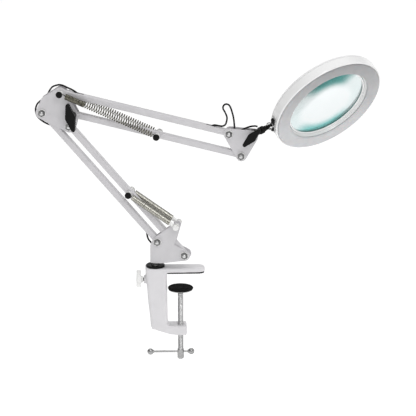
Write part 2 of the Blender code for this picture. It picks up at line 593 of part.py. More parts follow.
def head(paints, head_at, stem):
    """The lit ring with its lens, on a forked yoke at the end of the stem."""
    reach = along(STEM_ANGLE, STEM_LENGTH)
    pin_point = (TILT_PIVOT[0] + reach[0], 0.0, TILT_PIVOT[1] + reach[1])
    radial = Vector(HEAD_RADIAL).normalized()
    front = Vector(HEAD_FRONT)
    front = (front - radial * front.dot(radial)).normalized()
    stem_way = Vector((math.cos(math.radians(STEM_ANGLE)), 0.0, math.sin(math.radians(STEM_ANGLE))))
    pin_way = stem_way.cross(radial).normalized()
    basis = Matrix((radial, pin_way.cross(radial), pin_way)).transposed()
    pin_at = frame("head_pin_axis", head_at, pin_point, basis)
    lens_basis = Matrix((radial, front.cross(radial), front)).transposed()
    lens_at = frame("lens_axis", head_at, Vector(pin_point) + radial * PIN_TO_LENS, lens_basis)

    tongue_bm = lathe(cylinder(4.3, -2.0, 2.0))
    join(stem, tongue_bm, pin_at)
    local_stem = basis.transposed() @ -stem_way
    bridge = block((0.0, 9.0), (-3.2, 3.2), (-1.8, 1.8))
    turn = Matrix.Rotation(math.atan2(local_stem.y, local_stem.x), 3, "Z")
    bmesh.ops.rotate(bridge, matrix=turn, verts=bridge.verts)
    join(stem, bridge, pin_at)
    cut(stem, lathe(cylinder(1.5 + FIT, -6.0, 6.0), 16), pin_at)

    strap = []
    for radius in (HEAD_R + FIT, HEAD_R + FIT + 1.5):
        strap.append(arc((0.0, 0.0), radius, 170.5, 189.5, 8))
    outline = strap[0] + list(reversed(strap[1]))
    yoke = place("head_yoke", prism(outline, -5.0, 5.0, "Z"), paints["chrome"], lens_at)
    for low, high in ((2.0 + FIT, 3.9), (-3.9, -2.0 - FIT)):
        ear = hull([(0.0, 0.0, 4.3), (5.2, -3.4, 0.6), (5.2, 3.4, 0.6)], 16)
        join(yoke, prism(ear, low, high, "Z"), pin_at)
    cut(yoke, lathe(cylinder(1.5 + FIT, -9.0, 9.0), 16), pin_at)
    pin = [(0.0, -5.6), (2.4, -5.6), (2.4, -4.2), (1.5, -4.2), (1.5, 4.2), (2.4, 4.2)]
    place("yoke_pin", lathe([*pin, (2.4, 5.6), (0.0, 5.6)], 16), paints["steel"], pin_at)

    shell = [(HEAD_R, -5.8), (HEAD_R, 8.0), (86.9, 9.4), (85.5, 10.0), (84.0, 10.0), (84.0, 7.0)]
    shell += [(82.6, 7.0), (82.6, 0.4), (69.6, 0.4), (69.6, 7.0), (68.2, 7.0), (68.2, 10.0)]
    shell += [(66.8, 10.0), (65.9, 9.0), (63.7, 1.9), (63.7, -2.1), (61.2, -2.1), (61.2, -3.5)]
    shell += [(66.0, -3.5), (66.0, -1.2), (85.4, -1.2), (85.4, -5.8)]
    place("head_housing", lathe(shell, HEAD_SIDES), paints["white_abs"], lens_at)
    back = [(HEAD_R, -6.1), (HEAD_R, -7.6), (86.8, -9.3), (85.0, -10.0), (65.0, -10.0)]
    back += [(63.8, -9.4), (61.3, -3.8), (62.8, -3.8), (65.2, -8.4), (85.2, -8.4), (85.2, -6.1)]
    place("head_back_cover", lathe(back, HEAD_SIDES), paints["white_abs"], lens_at)
    ring = [(68.5, 7.3), (83.7, 7.3), (83.7, 9.4), (82.4, 10.4), (69.9, 10.4), (68.5, 9.4)]
    place("diffuser_ring", lathe(ring, HEAD_SIDES), paints["diffuser"], lens_at)
    board = [(72.0, 0.7), (80.0, 0.7), (80.0, 2.0), (72.0, 2.0)]
    place("led_board", lathe(board, 40), paints["board"], lens_at)
    retainer = [(60.8, 2.1), (63.4, 2.1), (63.4, 3.4), (61.4, 3.4)]
    place("lens_retainer", lathe(retainer, HEAD_SIDES), paints["white_abs"], lens_at)

    rim, edge, crown = 63.3, 1.5, 3.5
    face = [(r * rim / 4, edge + crown * (1.0 - (r / 4) ** 2)) for r in range(5)]
    lens = [(r, -z) for r, z in face] + [(r, z) for r, z in reversed(face)]
    place("lens", lathe(lens, HEAD_SIDES), paints["glass"], lens_at)


# ---------------------------------------------------------------- leads
def arm_leads(paints, arm, elbow_at, head_at):
    paint = paints["cable"]
    shoulder = [(-15.7, 0.0, 71.2), (-13.6, 0.0, 66.3), (-12.8, 0.4, 60.3), (-12.4, 2.6, 54.4)]
    shoulder += [(-11.4, 6.2, 48.4), (-8.0, 8.6, 42.8), (-5.0, 8.9, 39.0), (-1.8, 8.7, 38.2)]
    cable("shoulder_lead", shoulder, paint, arm)
    left = [(3.8, 9.4, 18.0), (-4.0, 9.4, 14.8), (-10.2, 9.2, 8.6), (-12.6, 8.8, 0.8)]
    left += [(-11.4, 7.4, -5.8), (-8.2, 5.0, -10.2), (-3.2, 2.4, -13.4), (2.6, 0.8, -16.4)]
    left += [(8.4, 0.0, -18.6), (13.6, 0.0, -20.0), (18.5, 0.0, -22.6)]
    cable("elbow_lead_left", left, paint, elbow_at)
    over = [(32.5, 0.0, -6.6), (27.5, 0.0, -3.6), (22.5, 0.0, 0.8), (16.5, 0.4, 4.6)]
    over += [(9.5, 1.0, 8.2), (2.5, 2.2, 11.0), (-3.5, 3.6, 11.4), (-9.0, 5.6, 9.2)]
    over += [(-14.5, 8.0, 4.8), (-19.0, 9.4, -1.2), (-22.4, 9.4, -8.0)]
    over = [(x + ELBOW_ANCHOR[0], y, z + ELBOW_ANCHOR[1]) for x, y, z in over]
    over.append((4.6, 9.4, 20.6))
    cable("elbow_lead_top", over, paint, elbow_at)
    loop = [(-34.0, 0.0, 6.9), (-29.0, 0.0, 8.2), (-23.5, -0.5, 11.0), (-16.5, -1.4, 10.6)]
    loop += [(-10.5, -2.4, 10.6), (-6.2, -3.3, 14.0), (-4.2, -3.9, 20.5), (-3.8, -4.1, 27.5)]
    loop += [(-6.4, -4.2, 35.4), (-9.4, -3.9, 41.4), (-9.6, -2.4, 45.6), (-6.6, 0.0, 48.6)]
    loop += [(-2.2, 2.4, 46.8), (0.5, 3.8, 41.0), (2.6, 4.0, 33.5), (4.4, 3.6, 26.0)]
    loop += [(5.6, 2.6, 18.4), (6.4, 1.2, 12.0), (7.0, 0.0, 6.6)]
    cable("head_loop_lead", loop, paint, head_at)
    link = [(16.0, 0.0, 4.6), (23.5, 0.0, 8.6), (30.5, 0.0, 11.4), (37.1, 0.0, 12.5)]
    link += [(41.1, 0.0, 11.9)]
    cable("knuckle_lead", link, paint, head_at)


def power_lead(paints):
    """The lead from the bracket's clip down behind the socket to its tied hank."""
    turn = math.radians(SWIVEL_REST)
    clip = (2.5, 8.9)
    x = SWIVEL_X + clip[0] * math.cos(turn) - clip[1] * math.sin(turn)
    y = clip[0] * math.sin(turn) + clip[1] * math.cos(turn)
    entry = HANK_X - RUN_R[0]
    drop = [(x, y, 34.7), (x, y, 31.0), (x - 0.6, y + 3.4, 25.6), (x - 2.4, y + 9.0, 20.6)]
    drop += [(SWIVEL_X, 20.6, 15.0), (SWIVEL_X - 0.6, 22.0, 8.6), (SWIVEL_X - 2.2, 21.6, 2.4)]
    drop += [(entry + 0.9, 19.8, -1.8), (entry, 18.6, -5.2)]
    cable("power_lead", drop, paints["cable"], None)

    outer = RUN_R[1] + CABLE_R
    top, low = HANK_TOP - outer, HANK_TOP - outer - HANK_RUN
    outline = arc((HANK_X, top), outer, 0.0, 180.0, 12)
    outline += arc((HANK_X, low), outer, 180.0, 360.0, 12)
    back = HANK_FRONT + HANK_LAYERS * 2 * CABLE_R
    place("power_hank", prism(outline, HANK_FRONT, back), paints["cable"], None)

    band = (outer + FIT, outer + FIT + 1.0)
    middle = (top + low) / 2
    tie = block((HANK_X - band[1], HANK_X + band[1]), (HANK_FRONT - 1.3, back + 1.3), (middle - 4, middle + 4))
    strap = place("hank_tie", tie, paints["rubber"], None)
    inside = block((HANK_X - band[0], HANK_X + band[0]), (HANK_FRONT - FIT, back + FIT), (middle - 9, middle + 9))
    cut(strap, inside, None)

    plug_y = back - CABLE_R
    plug_top = low - 10.9
    relief = lathe([(0.0, -8.0), (3.0, -8.0), (2.0, 0.0), (0.0, 0.0)], 16)
    plug = place("usb_plug", moved(relief, PLUG_X, plug_y, plug_top), paints["black_plastic"], None)
    grip_at = (PLUG_X, plug_y, plug_top - 7.6)
    grip = rounded_rectangle((-6.0, 6.0), (-3.8, 3.8), 2.0)
    join(plug, moved(prism(grip, -15.0, 0.0, "Z"), *grip_at), None)
    shell = rounded_rectangle((-6.0, 6.0), (-2.25, 2.25), 0.6, 2)
    shell = [(x * 0.98, y) for x, y in shell]
    join(plug, moved(prism(shell, -26.5, -14.0, "Z"), *grip_at), None)


# ---------------------------------------------------------------- assembly
def build():
    clear_scene()
    paints = make_materials()
    clamp_body(paints)
    jaw_pad(paints)
    socket_bush(paints)
    thumb_screw(paints)
    clamp_screw(paints)

    turn = Matrix.Rotation(math.radians(SWIVEL_REST), 3, "Z")
    arm = frame("arm_turntable", None, (SWIVEL_X, 0.0, 0.0), turn)
    base_bracket(paints, arm)
    lower_arm(paints, arm)
    elbow_xz = plus(SHOULDER, along(LOWER_ANGLE, ARM_LENGTH))
    elbow_at = frame("elbow_pivot", arm, (elbow_xz[0], 0.0, elbow_xz[1]))
    elbow(paints, elbow_at)
    upper_arm(paints, elbow_at)
    head_xz = plus(plus(elbow_xz, ELBOW_ANCHOR), along(UPPER_ANGLE, ARM_LENGTH))
    head_at = frame("head_pivot", arm, (head_xz[0], 0.0, head_xz[1]))
    head_bracket(paints, head_at)
    stem = head_joint(paints, head_at)
    head(paints, head_at, stem)
    arm_leads(paints, arm, elbow_at, head_at)
    power_lead(paints)


build()
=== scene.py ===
import math

import bmesh
import bpy
import numpy as np
from mathutils import Matrix, Vector
from mathutils.geometry import convex_hull_2d


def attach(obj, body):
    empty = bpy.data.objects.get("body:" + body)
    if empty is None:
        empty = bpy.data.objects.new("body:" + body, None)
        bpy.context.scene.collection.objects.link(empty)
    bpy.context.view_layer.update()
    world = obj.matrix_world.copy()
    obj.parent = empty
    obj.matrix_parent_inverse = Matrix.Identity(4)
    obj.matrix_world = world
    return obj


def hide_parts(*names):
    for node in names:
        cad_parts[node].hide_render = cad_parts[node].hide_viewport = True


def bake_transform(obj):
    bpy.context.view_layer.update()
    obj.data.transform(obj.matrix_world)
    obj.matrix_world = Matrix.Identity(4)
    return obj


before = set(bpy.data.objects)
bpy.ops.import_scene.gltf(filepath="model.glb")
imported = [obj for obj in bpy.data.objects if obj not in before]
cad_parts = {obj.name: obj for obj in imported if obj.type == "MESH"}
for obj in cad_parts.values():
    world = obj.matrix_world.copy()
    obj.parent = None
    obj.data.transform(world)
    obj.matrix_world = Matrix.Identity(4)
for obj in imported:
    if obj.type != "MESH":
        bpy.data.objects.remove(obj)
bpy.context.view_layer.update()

# Lengths are in millimetres and angles in degrees, unless a comment says otherwise. Meshes are in metres.
MM = 0.001
TAU = 2 * math.pi
SHARP = 32

# The arm lies in one upright plane, with X across and Z up, turned about the swivel's axis.
SWIVEL_X = -37.3
SWIVEL_REST = -12
ARM_LENGTH = 257
LOWER_ANGLE = 132.2
UPPER_ANGLE = -11.1
SHOULDER = (4.5, 49)
LOWER_LINK = (40.6, -18.7)
BASE_ANCHOR = (33.1, 75.5)
ELBOW_ANCHOR = (27.8, 32)
UPPER_LINK = (18, -32.8)
LOWER_POST_AT = 123.3
UPPER_POST_AT = 129.4
TILT_PIVOT = (35.8, 0.4)
STEM_ANGLE = 29.7
STEM_LENGTH = 26.6

# Bars, plates, bolts and springs.
BAR_SIDE = 9.2
BAR_WALL = 1
BAR_END = 6.2
SLOT_HALF = 5
PLATE_OUT = 6.5
FIT = 0.3
HOLE_R = 2.5
RIM_ROUND = 0.4
SPRING_Y = 11.15
SPRING_R = 4.35
WIRE_R = 0.63

# The head, with the ways from its pin to its middle and out of its front.
HEAD_RADIAL = (0.787, 0.555, 0.269)
HEAD_FRONT = (0.592, -0.607, -0.531)
HEAD_R = 88.3
PIN_TO_LENS = 95.1

# The clamp and its screws.
JAW_TOP = 9
THUMB_X = -62
THUMB_Z = -11.1
THUMB_HOLE_R = 3.2
SCREW_R = 4
PITCH = 1.25
PAD_TOP = -24.2
SCREW_END = -136
TOMMY_Z = -125

# The leads, the clip where the power lead starts, and the hank's inner and outer turns.
CABLE_R = 1.3
SHORTEST_CORD = 30
CLIP_HOLE = (2.5, 8.9)
CLIP_EXIT = 34.7
RUN_R = (7.8, 10.4)
HANK_LAYERS = 5
HANK_X = -35
HANK_TOP = -4
HANK_RUN = 41
HANK_FRONT = 15.9
PLUG_DROP = 10.9
HANK_ARCH = HANK_TOP - RUN_R[1] - CABLE_R

# The view, with the camera's distance in metres and the middle of the view told from the shoulder.
CAMERA_AZIMUTH = -2
CAMERA_ELEVATION = 18
CAMERA_DISTANCE = 8
SENSOR = 36
VIEW_WIDTH = 615.68
VIEW_RIGHT = 73.6
VIEW_UP = 48.5
FLOOR_Z = -750
FLOOR_REACH = 16000

# The lens's tint, teal arcs near its edge painted as the edge colour seen through the glass, darker above
# as painted shade: the way to its upper side, distances from its middle in metres, and cosines to that way.
TINT_SHADE_WAY = (0.08, 0.997, 0)
TINT_SHADE_RING = (0.038, 0.055)
TINT_SHADE_UPPER_EXTRA = 0.009
TINT_SHADE_SECTOR = (0.55, 0.95)
TINT_SHADE_LEAST = 0.16
TINT_SHADE_TURNOVER = (-0.6, 0.6)

NOISE_SPAN = (0.3, 0.7)
UNIT = (0, 1)
JOIN = "UNION"
CUT = "DIFFERENCE"


def along(angle, distance):
    return (distance * math.cos(math.radians(angle)), distance * math.sin(math.radians(angle)))


def plus(a, b):
    return (a[0] + b[0], a[1] + b[1])


LOW_RIGHT = plus(SHOULDER, LOWER_LINK)
ELBOW = plus(SHOULDER, along(LOWER_ANGLE, ARM_LENGTH))
UPPER_TOP = plus(ELBOW, ELBOW_ANCHOR)
UPPER_LOW = plus(UPPER_TOP, UPPER_LINK)
HEAD_TOP = plus(UPPER_TOP, along(UPPER_ANGLE, ARM_LENGTH))
HEAD_LOW = plus(HEAD_TOP, UPPER_LINK)
TILT = plus(HEAD_TOP, TILT_PIVOT)
PIN = plus(TILT, along(STEM_ANGLE, STEM_LENGTH))
LOWER_POST = plus(LOW_RIGHT, along(LOWER_ANGLE, LOWER_POST_AT))
UPPER_POST = plus(UPPER_LOW, along(UPPER_ANGLE, UPPER_POST_AT))

ARM = Matrix.Translation((SWIVEL_X, 0, 0)) @ Matrix.Rotation(math.radians(SWIVEL_REST), 4, "Z")
WORLD = Matrix.Identity(4)


def spot(at, angle=0):
    """A frame in the arm's plane, turned by angle about Y."""
    return ARM @ Matrix.Translation((at[0], 0, at[1])) @ Matrix.Rotation(-math.radians(angle), 4, "Y")


def head_frames():
    radial = Vector(HEAD_RADIAL).normalized()
    front = Vector(HEAD_FRONT)
    front = (front - radial * front.dot(radial)).normalized()
    stem = Vector((*along(STEM_ANGLE, 1), 0)).xzy
    pin_way = stem.cross(radial).normalized()
    pin_point = Vector((PIN[0], 0, PIN[1]))
    pin_basis = Matrix((radial, pin_way.cross(radial), pin_way)).transposed()
    lens_basis = Matrix((radial, front.cross(radial), front)).transposed()
    pin_at = ARM @ Matrix.Translation(pin_point) @ pin_basis.to_4x4()
    lens_at = ARM @ Matrix.Translation(pin_point + radial * PIN_TO_LENS) @ lens_basis.to_4x4()
    back_to_stem = pin_basis.transposed() @ -stem
    return pin_at, lens_at, math.atan2(back_to_stem.y, back_to_stem.x)


PIN_AT, LENS_AT, BRIDGE_TURN = head_frames()


# Materials.
def add_node(nt, kind, inputs, **settings):
    """A shader node; each input is a value, or the output that feeds it."""
    made = nt.nodes.new(f"ShaderNode{kind}")
    for name, value in settings.items():
        setattr(made, name, value)
    for socket, value in inputs.items():
        if isinstance(value, bpy.types.NodeSocket):
            nt.links.new(value, made.inputs[socket])
        else:
            made.inputs[socket].default_value = value
    return made


def object_point(nt):
    return nt.nodes.new("ShaderNodeTexCoord").outputs["Object"]


def noise(nt, point, scale, detail=3):
    return add_node(nt, "TexNoise", {"Vector": point, "Scale": scale, "Detail": detail}).outputs["Fac"]


def ranged(nt, value, given, wanted=UNIT, kind="LINEAR"):
    """The value, carried from one range over to another and held inside it."""
    inputs = {"Value": value, "From Min": given[0], "From Max": given[1],
              "To Min": wanted[0], "To Max": wanted[1]}
    return add_node(nt, "MapRange", inputs, interpolation_type=kind).outputs["Result"]


def two_colours(nt, value, low, high):
    inputs = {"Factor": value}
    for socket, colour in (("A", low), ("B", high)):
        inputs[socket] = (*colour, 1) if isinstance(colour, tuple) else colour
    return add_node(nt, "Mix", inputs, data_type="RGBA").outputs["Result"]


def bump(nt, height, strength, distance, normal=None):
    inputs = {"Strength": strength, "Distance": distance, "Height": height}
    if normal is not None:
        inputs["Normal"] = normal
    return add_node(nt, "Bump", inputs).outputs["Normal"]


def surface(name, dark, light, rough, metal=0, clouds=60, grain=900, depth=0.00006,
            strength=0.25, ripple=None, **sockets):
    """A finish with clouded colour, uneven roughness and a fine grain; ripple adds a broader wave."""
    made = bpy.data.materials.new(name)
    made.use_nodes = True
    nt = made.node_tree
    shader = nt.nodes["Principled BSDF"]
    point = object_point(nt)
    cloud = ranged(nt, noise(nt, point, clouds), NOISE_SPAN)
    nt.links.new(two_colours(nt, cloud, dark, light), shader.inputs["Base Color"])
    uneven = ranged(nt, noise(nt, point, clouds * 3.1), NOISE_SPAN, rough)
    nt.links.new(uneven, shader.inputs["Roughness"])
    normal = None
    if ripple is not None:
        normal = bump(nt, noise(nt, point, ripple[0], 1), ripple[1], ripple[2])
    normal = bump(nt, noise(nt, point, grain, 2), strength, depth, normal)
    nt.links.new(normal, shader.inputs["Normal"])
    shader.inputs["Metallic"].default_value = metal
    for socket, value in sockets.items():
        shader.inputs[socket.replace("_", " ")].default_value = value
    return made


def paint_shade_along(made, way, reach, scale):
    """Paints shade into the colour along a direction, scaling it from scale[0] at reach[0] to scale[1] at
    reach[1], in metres.
    """
    nt = made.node_tree
    colour = nt.nodes["Principled BSDF"].inputs["Base Color"]
    place_along = add_node(nt, "VectorMath", {0: object_point(nt), 1: way}, operation="DOT_PRODUCT")
    level = ranged(nt, place_along.outputs["Value"], reach, scale)
    plain = colour.links[0].from_socket
    scaled = add_node(nt, "VectorMath", {0: plain, "Scale": level}, operation="SCALE")
    nt.links.new(scaled.outputs["Vector"], colour)


def tint_lens_with_painted_arcs(made, above, below):
    """Deepens the glass towards its edge, above and below its middle: teal arcs painted as the edge colour
    seen through the glass, darker above as painted shade and paler below as painted light.
    """
    nt = made.node_tree
    colour = nt.nodes["Principled BSDF"].inputs["Base Color"]
    plain = colour.links[0].from_socket
    away = LENS_AT.inverted()
    inputs = {"Vector": object_point(nt), "Location": away.translation * MM, "Rotation": away.to_euler()}
    local = add_node(nt, "Mapping", inputs, vector_type="POINT")
    split = add_node(nt, "SeparateXYZ", {"Vector": local.outputs["Vector"]})
    flat = add_node(nt, "CombineXYZ", {"X": split.outputs["X"], "Y": split.outputs["Y"]}).outputs["Vector"]
    reach = add_node(nt, "VectorMath", {0: flat}, operation="LENGTH").outputs["Value"]
    unit = add_node(nt, "VectorMath", {0: flat}, operation="NORMALIZE").outputs["Vector"]
    upward = add_node(nt, "VectorMath", {0: unit, 1: TINT_SHADE_WAY}, operation="DOT_PRODUCT").outputs["Value"]
    share = add_node(nt, "Math", {0: upward}, operation="ABSOLUTE").outputs["Value"]
    sector = ranged(nt, share, TINT_SHADE_SECTOR, (TINT_SHADE_LEAST, 1), "SMOOTHSTEP")
    top = ranged(nt, upward, TINT_SHADE_TURNOVER, UNIT, "SMOOTHSTEP")
    inputs = {0: top, 1: TINT_SHADE_UPPER_EXTRA, 2: reach}
    wider = add_node(nt, "Math", inputs, operation="MULTIPLY_ADD").outputs["Value"]
    ring = ranged(nt, wider, TINT_SHADE_RING, UNIT, "SMOOTHSTEP")
    both = add_node(nt, "Math", {0: ring, 1: sector}, operation="MULTIPLY").outputs["Value"]
    deep = two_colours(nt, top, below, above)
    nt.links.new(two_colours(nt, both, plain, deep), colour)


def grey(value, blue=0):
    return (value, value, value + blue)


def make_materials():
    m = {}
    m["paint"] = surface("white_powder_coat", (0.575, 0.565, 0.582), (0.615, 0.605, 0.622), (0.30, 0.42),
                         ripple=(420, 0.30, 0.00005), Coat_Weight=0.15, Coat_Roughness=0.2)
    m["cast"] = surface("white_cast_paint", (0.675, 0.665, 0.682), (0.715, 0.705, 0.722), (0.30, 0.44),
                        ripple=(260, 0.35, 0.00010), Coat_Weight=0.15, Coat_Roughness=0.2)
    m["abs"] = surface("white_abs", grey(0.83), grey(0.86), (0.16, 0.24), clouds=25,
                       grain=1500, depth=0.00002, Coat_Weight=0.25, Coat_Roughness=0.1)
    m["diffuser"] = surface("milky_diffuser", grey(0.42, 0.010), grey(0.46, 0.012), (0.38, 0.48),
                            clouds=90, Subsurface_Weight=0.1, Subsurface_Scale=0.003)
    # Painted shade: the diffuser's colour is lighter low down and darker towards its top, as light falls on
    # its face.
    paint_shade_along(m["diffuser"], (0, 0, 1), (0.215, 0.325), (1.25, 0.72))
    m["glass"] = surface("lens_glass", (0.86, 0.90, 0.905), (0.88, 0.92, 0.925), (0, 0.01), clouds=20,
                         depth=0, strength=0, Transmission_Weight=1, IOR=1.33)
    # Painted light and shade: teal arcs in the glass near its edge, dark above and pale below.
    tint_lens_with_painted_arcs(m["glass"], (0.05, 0.27, 0.25), (0.16, 0.52, 0.50))
    # The teal is the glass edge's own colour; its emission is painted light, a glow with no lamp behind it.
    m["teal"] = surface("lens_edge_painted_glow", (0.006, 0.15, 0.135), (0.012, 0.24, 0.22), (0.18, 0.3),
                        Coat_Weight=0.4, Emission_Color=(0.05, 0.20, 0.185, 1), Emission_Strength=1)
    m["black"] = surface("black_moulding", grey(0.0035), grey(0.006), (0.34, 0.46), grain=1400,
                         Specular_IOR_Level=0.12)
    m["rubber"] = surface("black_rubber", grey(0.004), grey(0.008), (0.66, 0.85), grain=1100,
                          depth=0.0001, strength=0.45, Specular_IOR_Level=0.1)
    # Painted reflection: the plating's colour is dark and clouded, standing in for the darker surroundings
    # that chrome reflects.
    m["chrome"] = surface("bright_plate", grey(0.09), grey(0.24), (0.05, 0.13), 1, clouds=150,
                          depth=0.00001, Specular_Tint=(0.02, 0.02, 0.02, 1))
    m["steel"] = surface("zinc_steel", grey(0.34), grey(0.46), (0.18, 0.32), 1, clouds=200,
                         depth=0.00003, Specular_Tint=(0.05, 0.05, 0.05, 1))
    m["zinc"] = surface("bright_zinc", grey(0.56), grey(0.68), (0.20, 0.34), 1, clouds=200,
                        depth=0.00003, Specular_Tint=(0.1, 0.1, 0.1, 1))
    m["spring"] = surface("spring_wire", (0.48, 0.47, 0.43), (0.64, 0.63, 0.58), (0.18, 0.30), 1,
                          clouds=300, depth=0.00001, Specular_Tint=(0.05, 0.05, 0.04, 1))
    # Partly painted shade: the upper springs' wire is darkened, partly as oiled wire and partly to stand in
    # for the shade between the coils.
    m["oiled_and_shaded"] = surface("oiled_and_shaded_spring_wire", (0.075, 0.072, 0.06), (0.32, 0.305, 0.24), (0.16, 0.28), 1,
                         clouds=300, depth=0.00001, Specular_Tint=(0.03, 0.03, 0.02, 1))
    m["pale"] = surface("off_white_plastic", (0.81, 0.81, 0.80), (0.86, 0.86, 0.85), (0.2, 0.3))
    m["cable"] = surface("black_pvc", grey(0.004), grey(0.007), (0.40, 0.52), grain=2400,
                         Specular_IOR_Level=0.12)
    m["board"] = surface("led_board", (0.60, 0.62, 0.60), (0.66, 0.67, 0.65), (0.4, 0.5))
    return m


PAINT = make_materials()


# Meshes.
def place(name, bm, paint, body, at=ARM, node=None, bevel=None, sharp=SHARP):
    """Makes a piece from a bmesh in millimetres in the frame at, and hangs it on its body."""
    bmesh.ops.recalc_face_normals(bm, faces=bm.faces)
    mesh = bpy.data.meshes.new(name)
    bm.to_mesh(mesh)
    bm.free()
    mesh.transform(Matrix.Scale(MM, 4) @ at)
    obj = in_scene(name, mesh)
    if paint is not None:
        mesh.materials.append(PAINT[paint])
    mesh.shade_smooth()
    mesh.set_sharp_from_angle(angle=math.radians(sharp))
    if bevel is not None:
        add_bevel(obj, bevel)
    if body is not None:
        settle(obj, body, node)
    return obj


def settle(obj, body, node=None):
    """Hangs a piece on its body, and lets it stand for a CAD node."""
    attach(obj, body)
    if node is not None:
        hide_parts(node)


def add_bevel(obj, width):
    mod = obj.modifiers.new("edges", "BEVEL")
    mod.width = width * MM
    mod.segments = 3
    mod.limit_method = "ANGLE"
    mod.angle_limit = math.radians(40)
    mod.harden_normals = True


def bake(obj):
    """Applies the modifiers to the mesh."""
    graph = bpy.context.evaluated_depsgraph_get()
    mesh = bpy.data.meshes.new_from_object(obj.evaluated_get(graph))
    old = obj.data
    obj.modifiers.clear()
    obj.data = mesh
    bpy.data.meshes.remove(old)
    return obj


def lathe(profile, sides=64):
    bm = bmesh.new()
    rings = []
    for radius, height in profile:
        if radius < 1e-6:
            rings.append([bm.verts.new((0, 0, height))] * sides)
            continue
        ring = []
        for i in range(sides):
            a = TAU * i / sides
            ring.append(bm.verts.new((radius * math.cos(a), radius * math.sin(a), height)))
        rings.append(ring)
    for k, low in enumerate(rings):
        high = rings[(k + 1) % len(rings)]
        for i in range(sides):
            j = (i + 1) % sides
            corners = []
            for vert in (low[i], low[j], high[j], high[i]):
                if vert not in corners:
                    corners.append(vert)
            if len(corners) > 2:
                bm.faces.new(corners)
    return bm


def rounded(profile, radius, steps=3):
    """Rounds the corners of a closed profile, apart from those on the axis."""
    points = [Vector(p) for p in profile]
    made = []
    for k, here in enumerate(points):
        before, after = points[k - 1], points[(k + 1) % len(points)]
        a, b = before - here, after - here
        if here.x < 1e-6 or a.length < 1e-9 or b.length < 1e-9:
            made.append(tuple(here))
            continue
        cut = min(radius, a.length * 0.45, b.length * 0.45)
        start, end = here + a.normalized() * cut, here + b.normalized() * cut
        for i in range(steps + 1):
            t = i / steps
            made.append(tuple(start * (1 - t) ** 2 + here * 2 * t * (1 - t) + end * t * t))
    return made


def turned(bm, axis):
    """Turns a Z lathe so that its height runs along +Y or +X."""
    angle, about = {"Y": (-math.pi / 2, "X"), "X": (math.pi / 2, "Y")}[axis]
    bmesh.ops.rotate(bm, matrix=Matrix.Rotation(angle, 3, about), verts=bm.verts)
    return bm


def spun(profile, sides, axis):
    """A lathe about X or Y."""
    return turned(lathe(profile, sides), axis)


def moved(bm, x, y, z):
    bmesh.ops.translate(bm, vec=(x, y, z), verts=bm.verts)
    return bm


def cylinder(radius, low, high):
    return [(0, low), (radius, low), (radius, high), (0, high)]


def rod(axis, radius, low, high, sides=24):
    """A round bar along an axis, for a shank or for a hole."""
    made = lathe(cylinder(radius, low, high), sides)
    return made if axis == "Z" else turned(made, axis)


def bolt_holes(places):
    """Cutters for holes across the arm."""
    return [moved(rod("Y", HOLE_R, -20, 20), x, 0, z) for x, z in places]


def prism(outline, low, high, axis="Y"):
    bm = bmesh.new()
    layers = []
    for depth in (low, high):
        if axis == "Y":
            layers.append([bm.verts.new((x, depth, z)) for x, z in outline])
        else:
            layers.append([bm.verts.new((x, y, depth)) for x, y in outline])
    count = len(outline)
    bm.faces.new(layers[0])
    bm.faces.new(list(reversed(layers[1])))
    for i in range(count):
        j = (i + 1) % count
        bm.faces.new((layers[0][i], layers[1][i], layers[1][j], layers[0][j]))
    return bm


def block(x, y, z):
    return prism([(x[0], z[0]), (x[1], z[0]), (x[1], z[1]), (x[0], z[1])], y[0], y[1])


def skin(bm, rings, joined=False):
    """Faces between rings of vertices, with the ends closed unless the last ring joins the first."""
    following = [*rings[1:], rings[0]] if joined else rings[1:]
    for low, high in zip(rings, following):
        for i in range(len(low)):
            j = (i + 1) % len(low)
            bm.faces.new((low[i], low[j], high[j], high[i]))
    if not joined:
        bm.faces.new(list(reversed(rings[0])))
        bm.faces.new(rings[-1])
    return bm


def loft(sections):
    bm = bmesh.new()
    return skin(bm, [[bm.verts.new(p) for p in section] for section in sections])


def arc(centre, radius, first, last, steps):
    points = []
    for i in range(steps + 1):
        a = math.radians(first + (last - first) * i / steps)
        points.append((centre[0] + radius * math.cos(a), centre[1] + radius * math.sin(a)))
    return points


def hull(circles, steps=64):
    points = []
    for x, z, radius in circles:
        points += arc((x, z), radius, 0, 360 * (steps - 1) / steps, steps - 1)
    return [points[i] for i in convex_hull_2d([Vector(p) for p in points])]


def rounded_rectangle(x, y, radius, steps=6):
    corners = [(x[1], y[1], 0), (x[0], y[1], 90), (x[0], y[0], 180), (x[1], y[0], 270)]
    outline = []
    for cx, cy, first in corners:
        inset_x = cx - math.copysign(radius, cx - (x[0] + x[1]) / 2)
        inset_y = cy - math.copysign(radius, cy - (y[0] + y[1]) / 2)
        outline += arc((inset_x, inset_y), radius, first, first + 90, steps)
    return outline


def combine(obj, bm, at, operation):
    """Cuts a shape out of obj, or joins it on, and applies the result."""
    other = place(f"{obj.name}_tool", bm, None, None, at)
    mod = obj.modifiers.new("combine", "BOOLEAN")
    mod.operation = operation
    mod.solver = "EXACT"
    mod.object = other
    bake(obj)
    bpy.data.objects.remove(other, do_unlink=True)
    obj.data.shade_smooth()
    obj.data.set_sharp_from_angle(angle=math.radians(SHARP))


def worked(name, bm, paint, body, at, node, steps, edge=None, tools_at=None):
    """A piece with shapes joined on or cut out one after the other, and then its edges softened."""
    obj = place(name, bm, paint, None, at)
    for operation, tool in steps:
        combine(obj, tool, at if tools_at is None else tools_at, operation)
    if edge is not None:
        add_bevel(obj, edge)
    settle(obj, body, node)
    return obj


def merge(parts):
    """One bmesh from several."""
    whole = bmesh.new()
    for part in parts:
        mesh = bpy.data.meshes.new("part")
        part.to_mesh(mesh)
        part.free()
        whole.from_mesh(mesh)
        bpy.data.meshes.remove(mesh)
    return whole


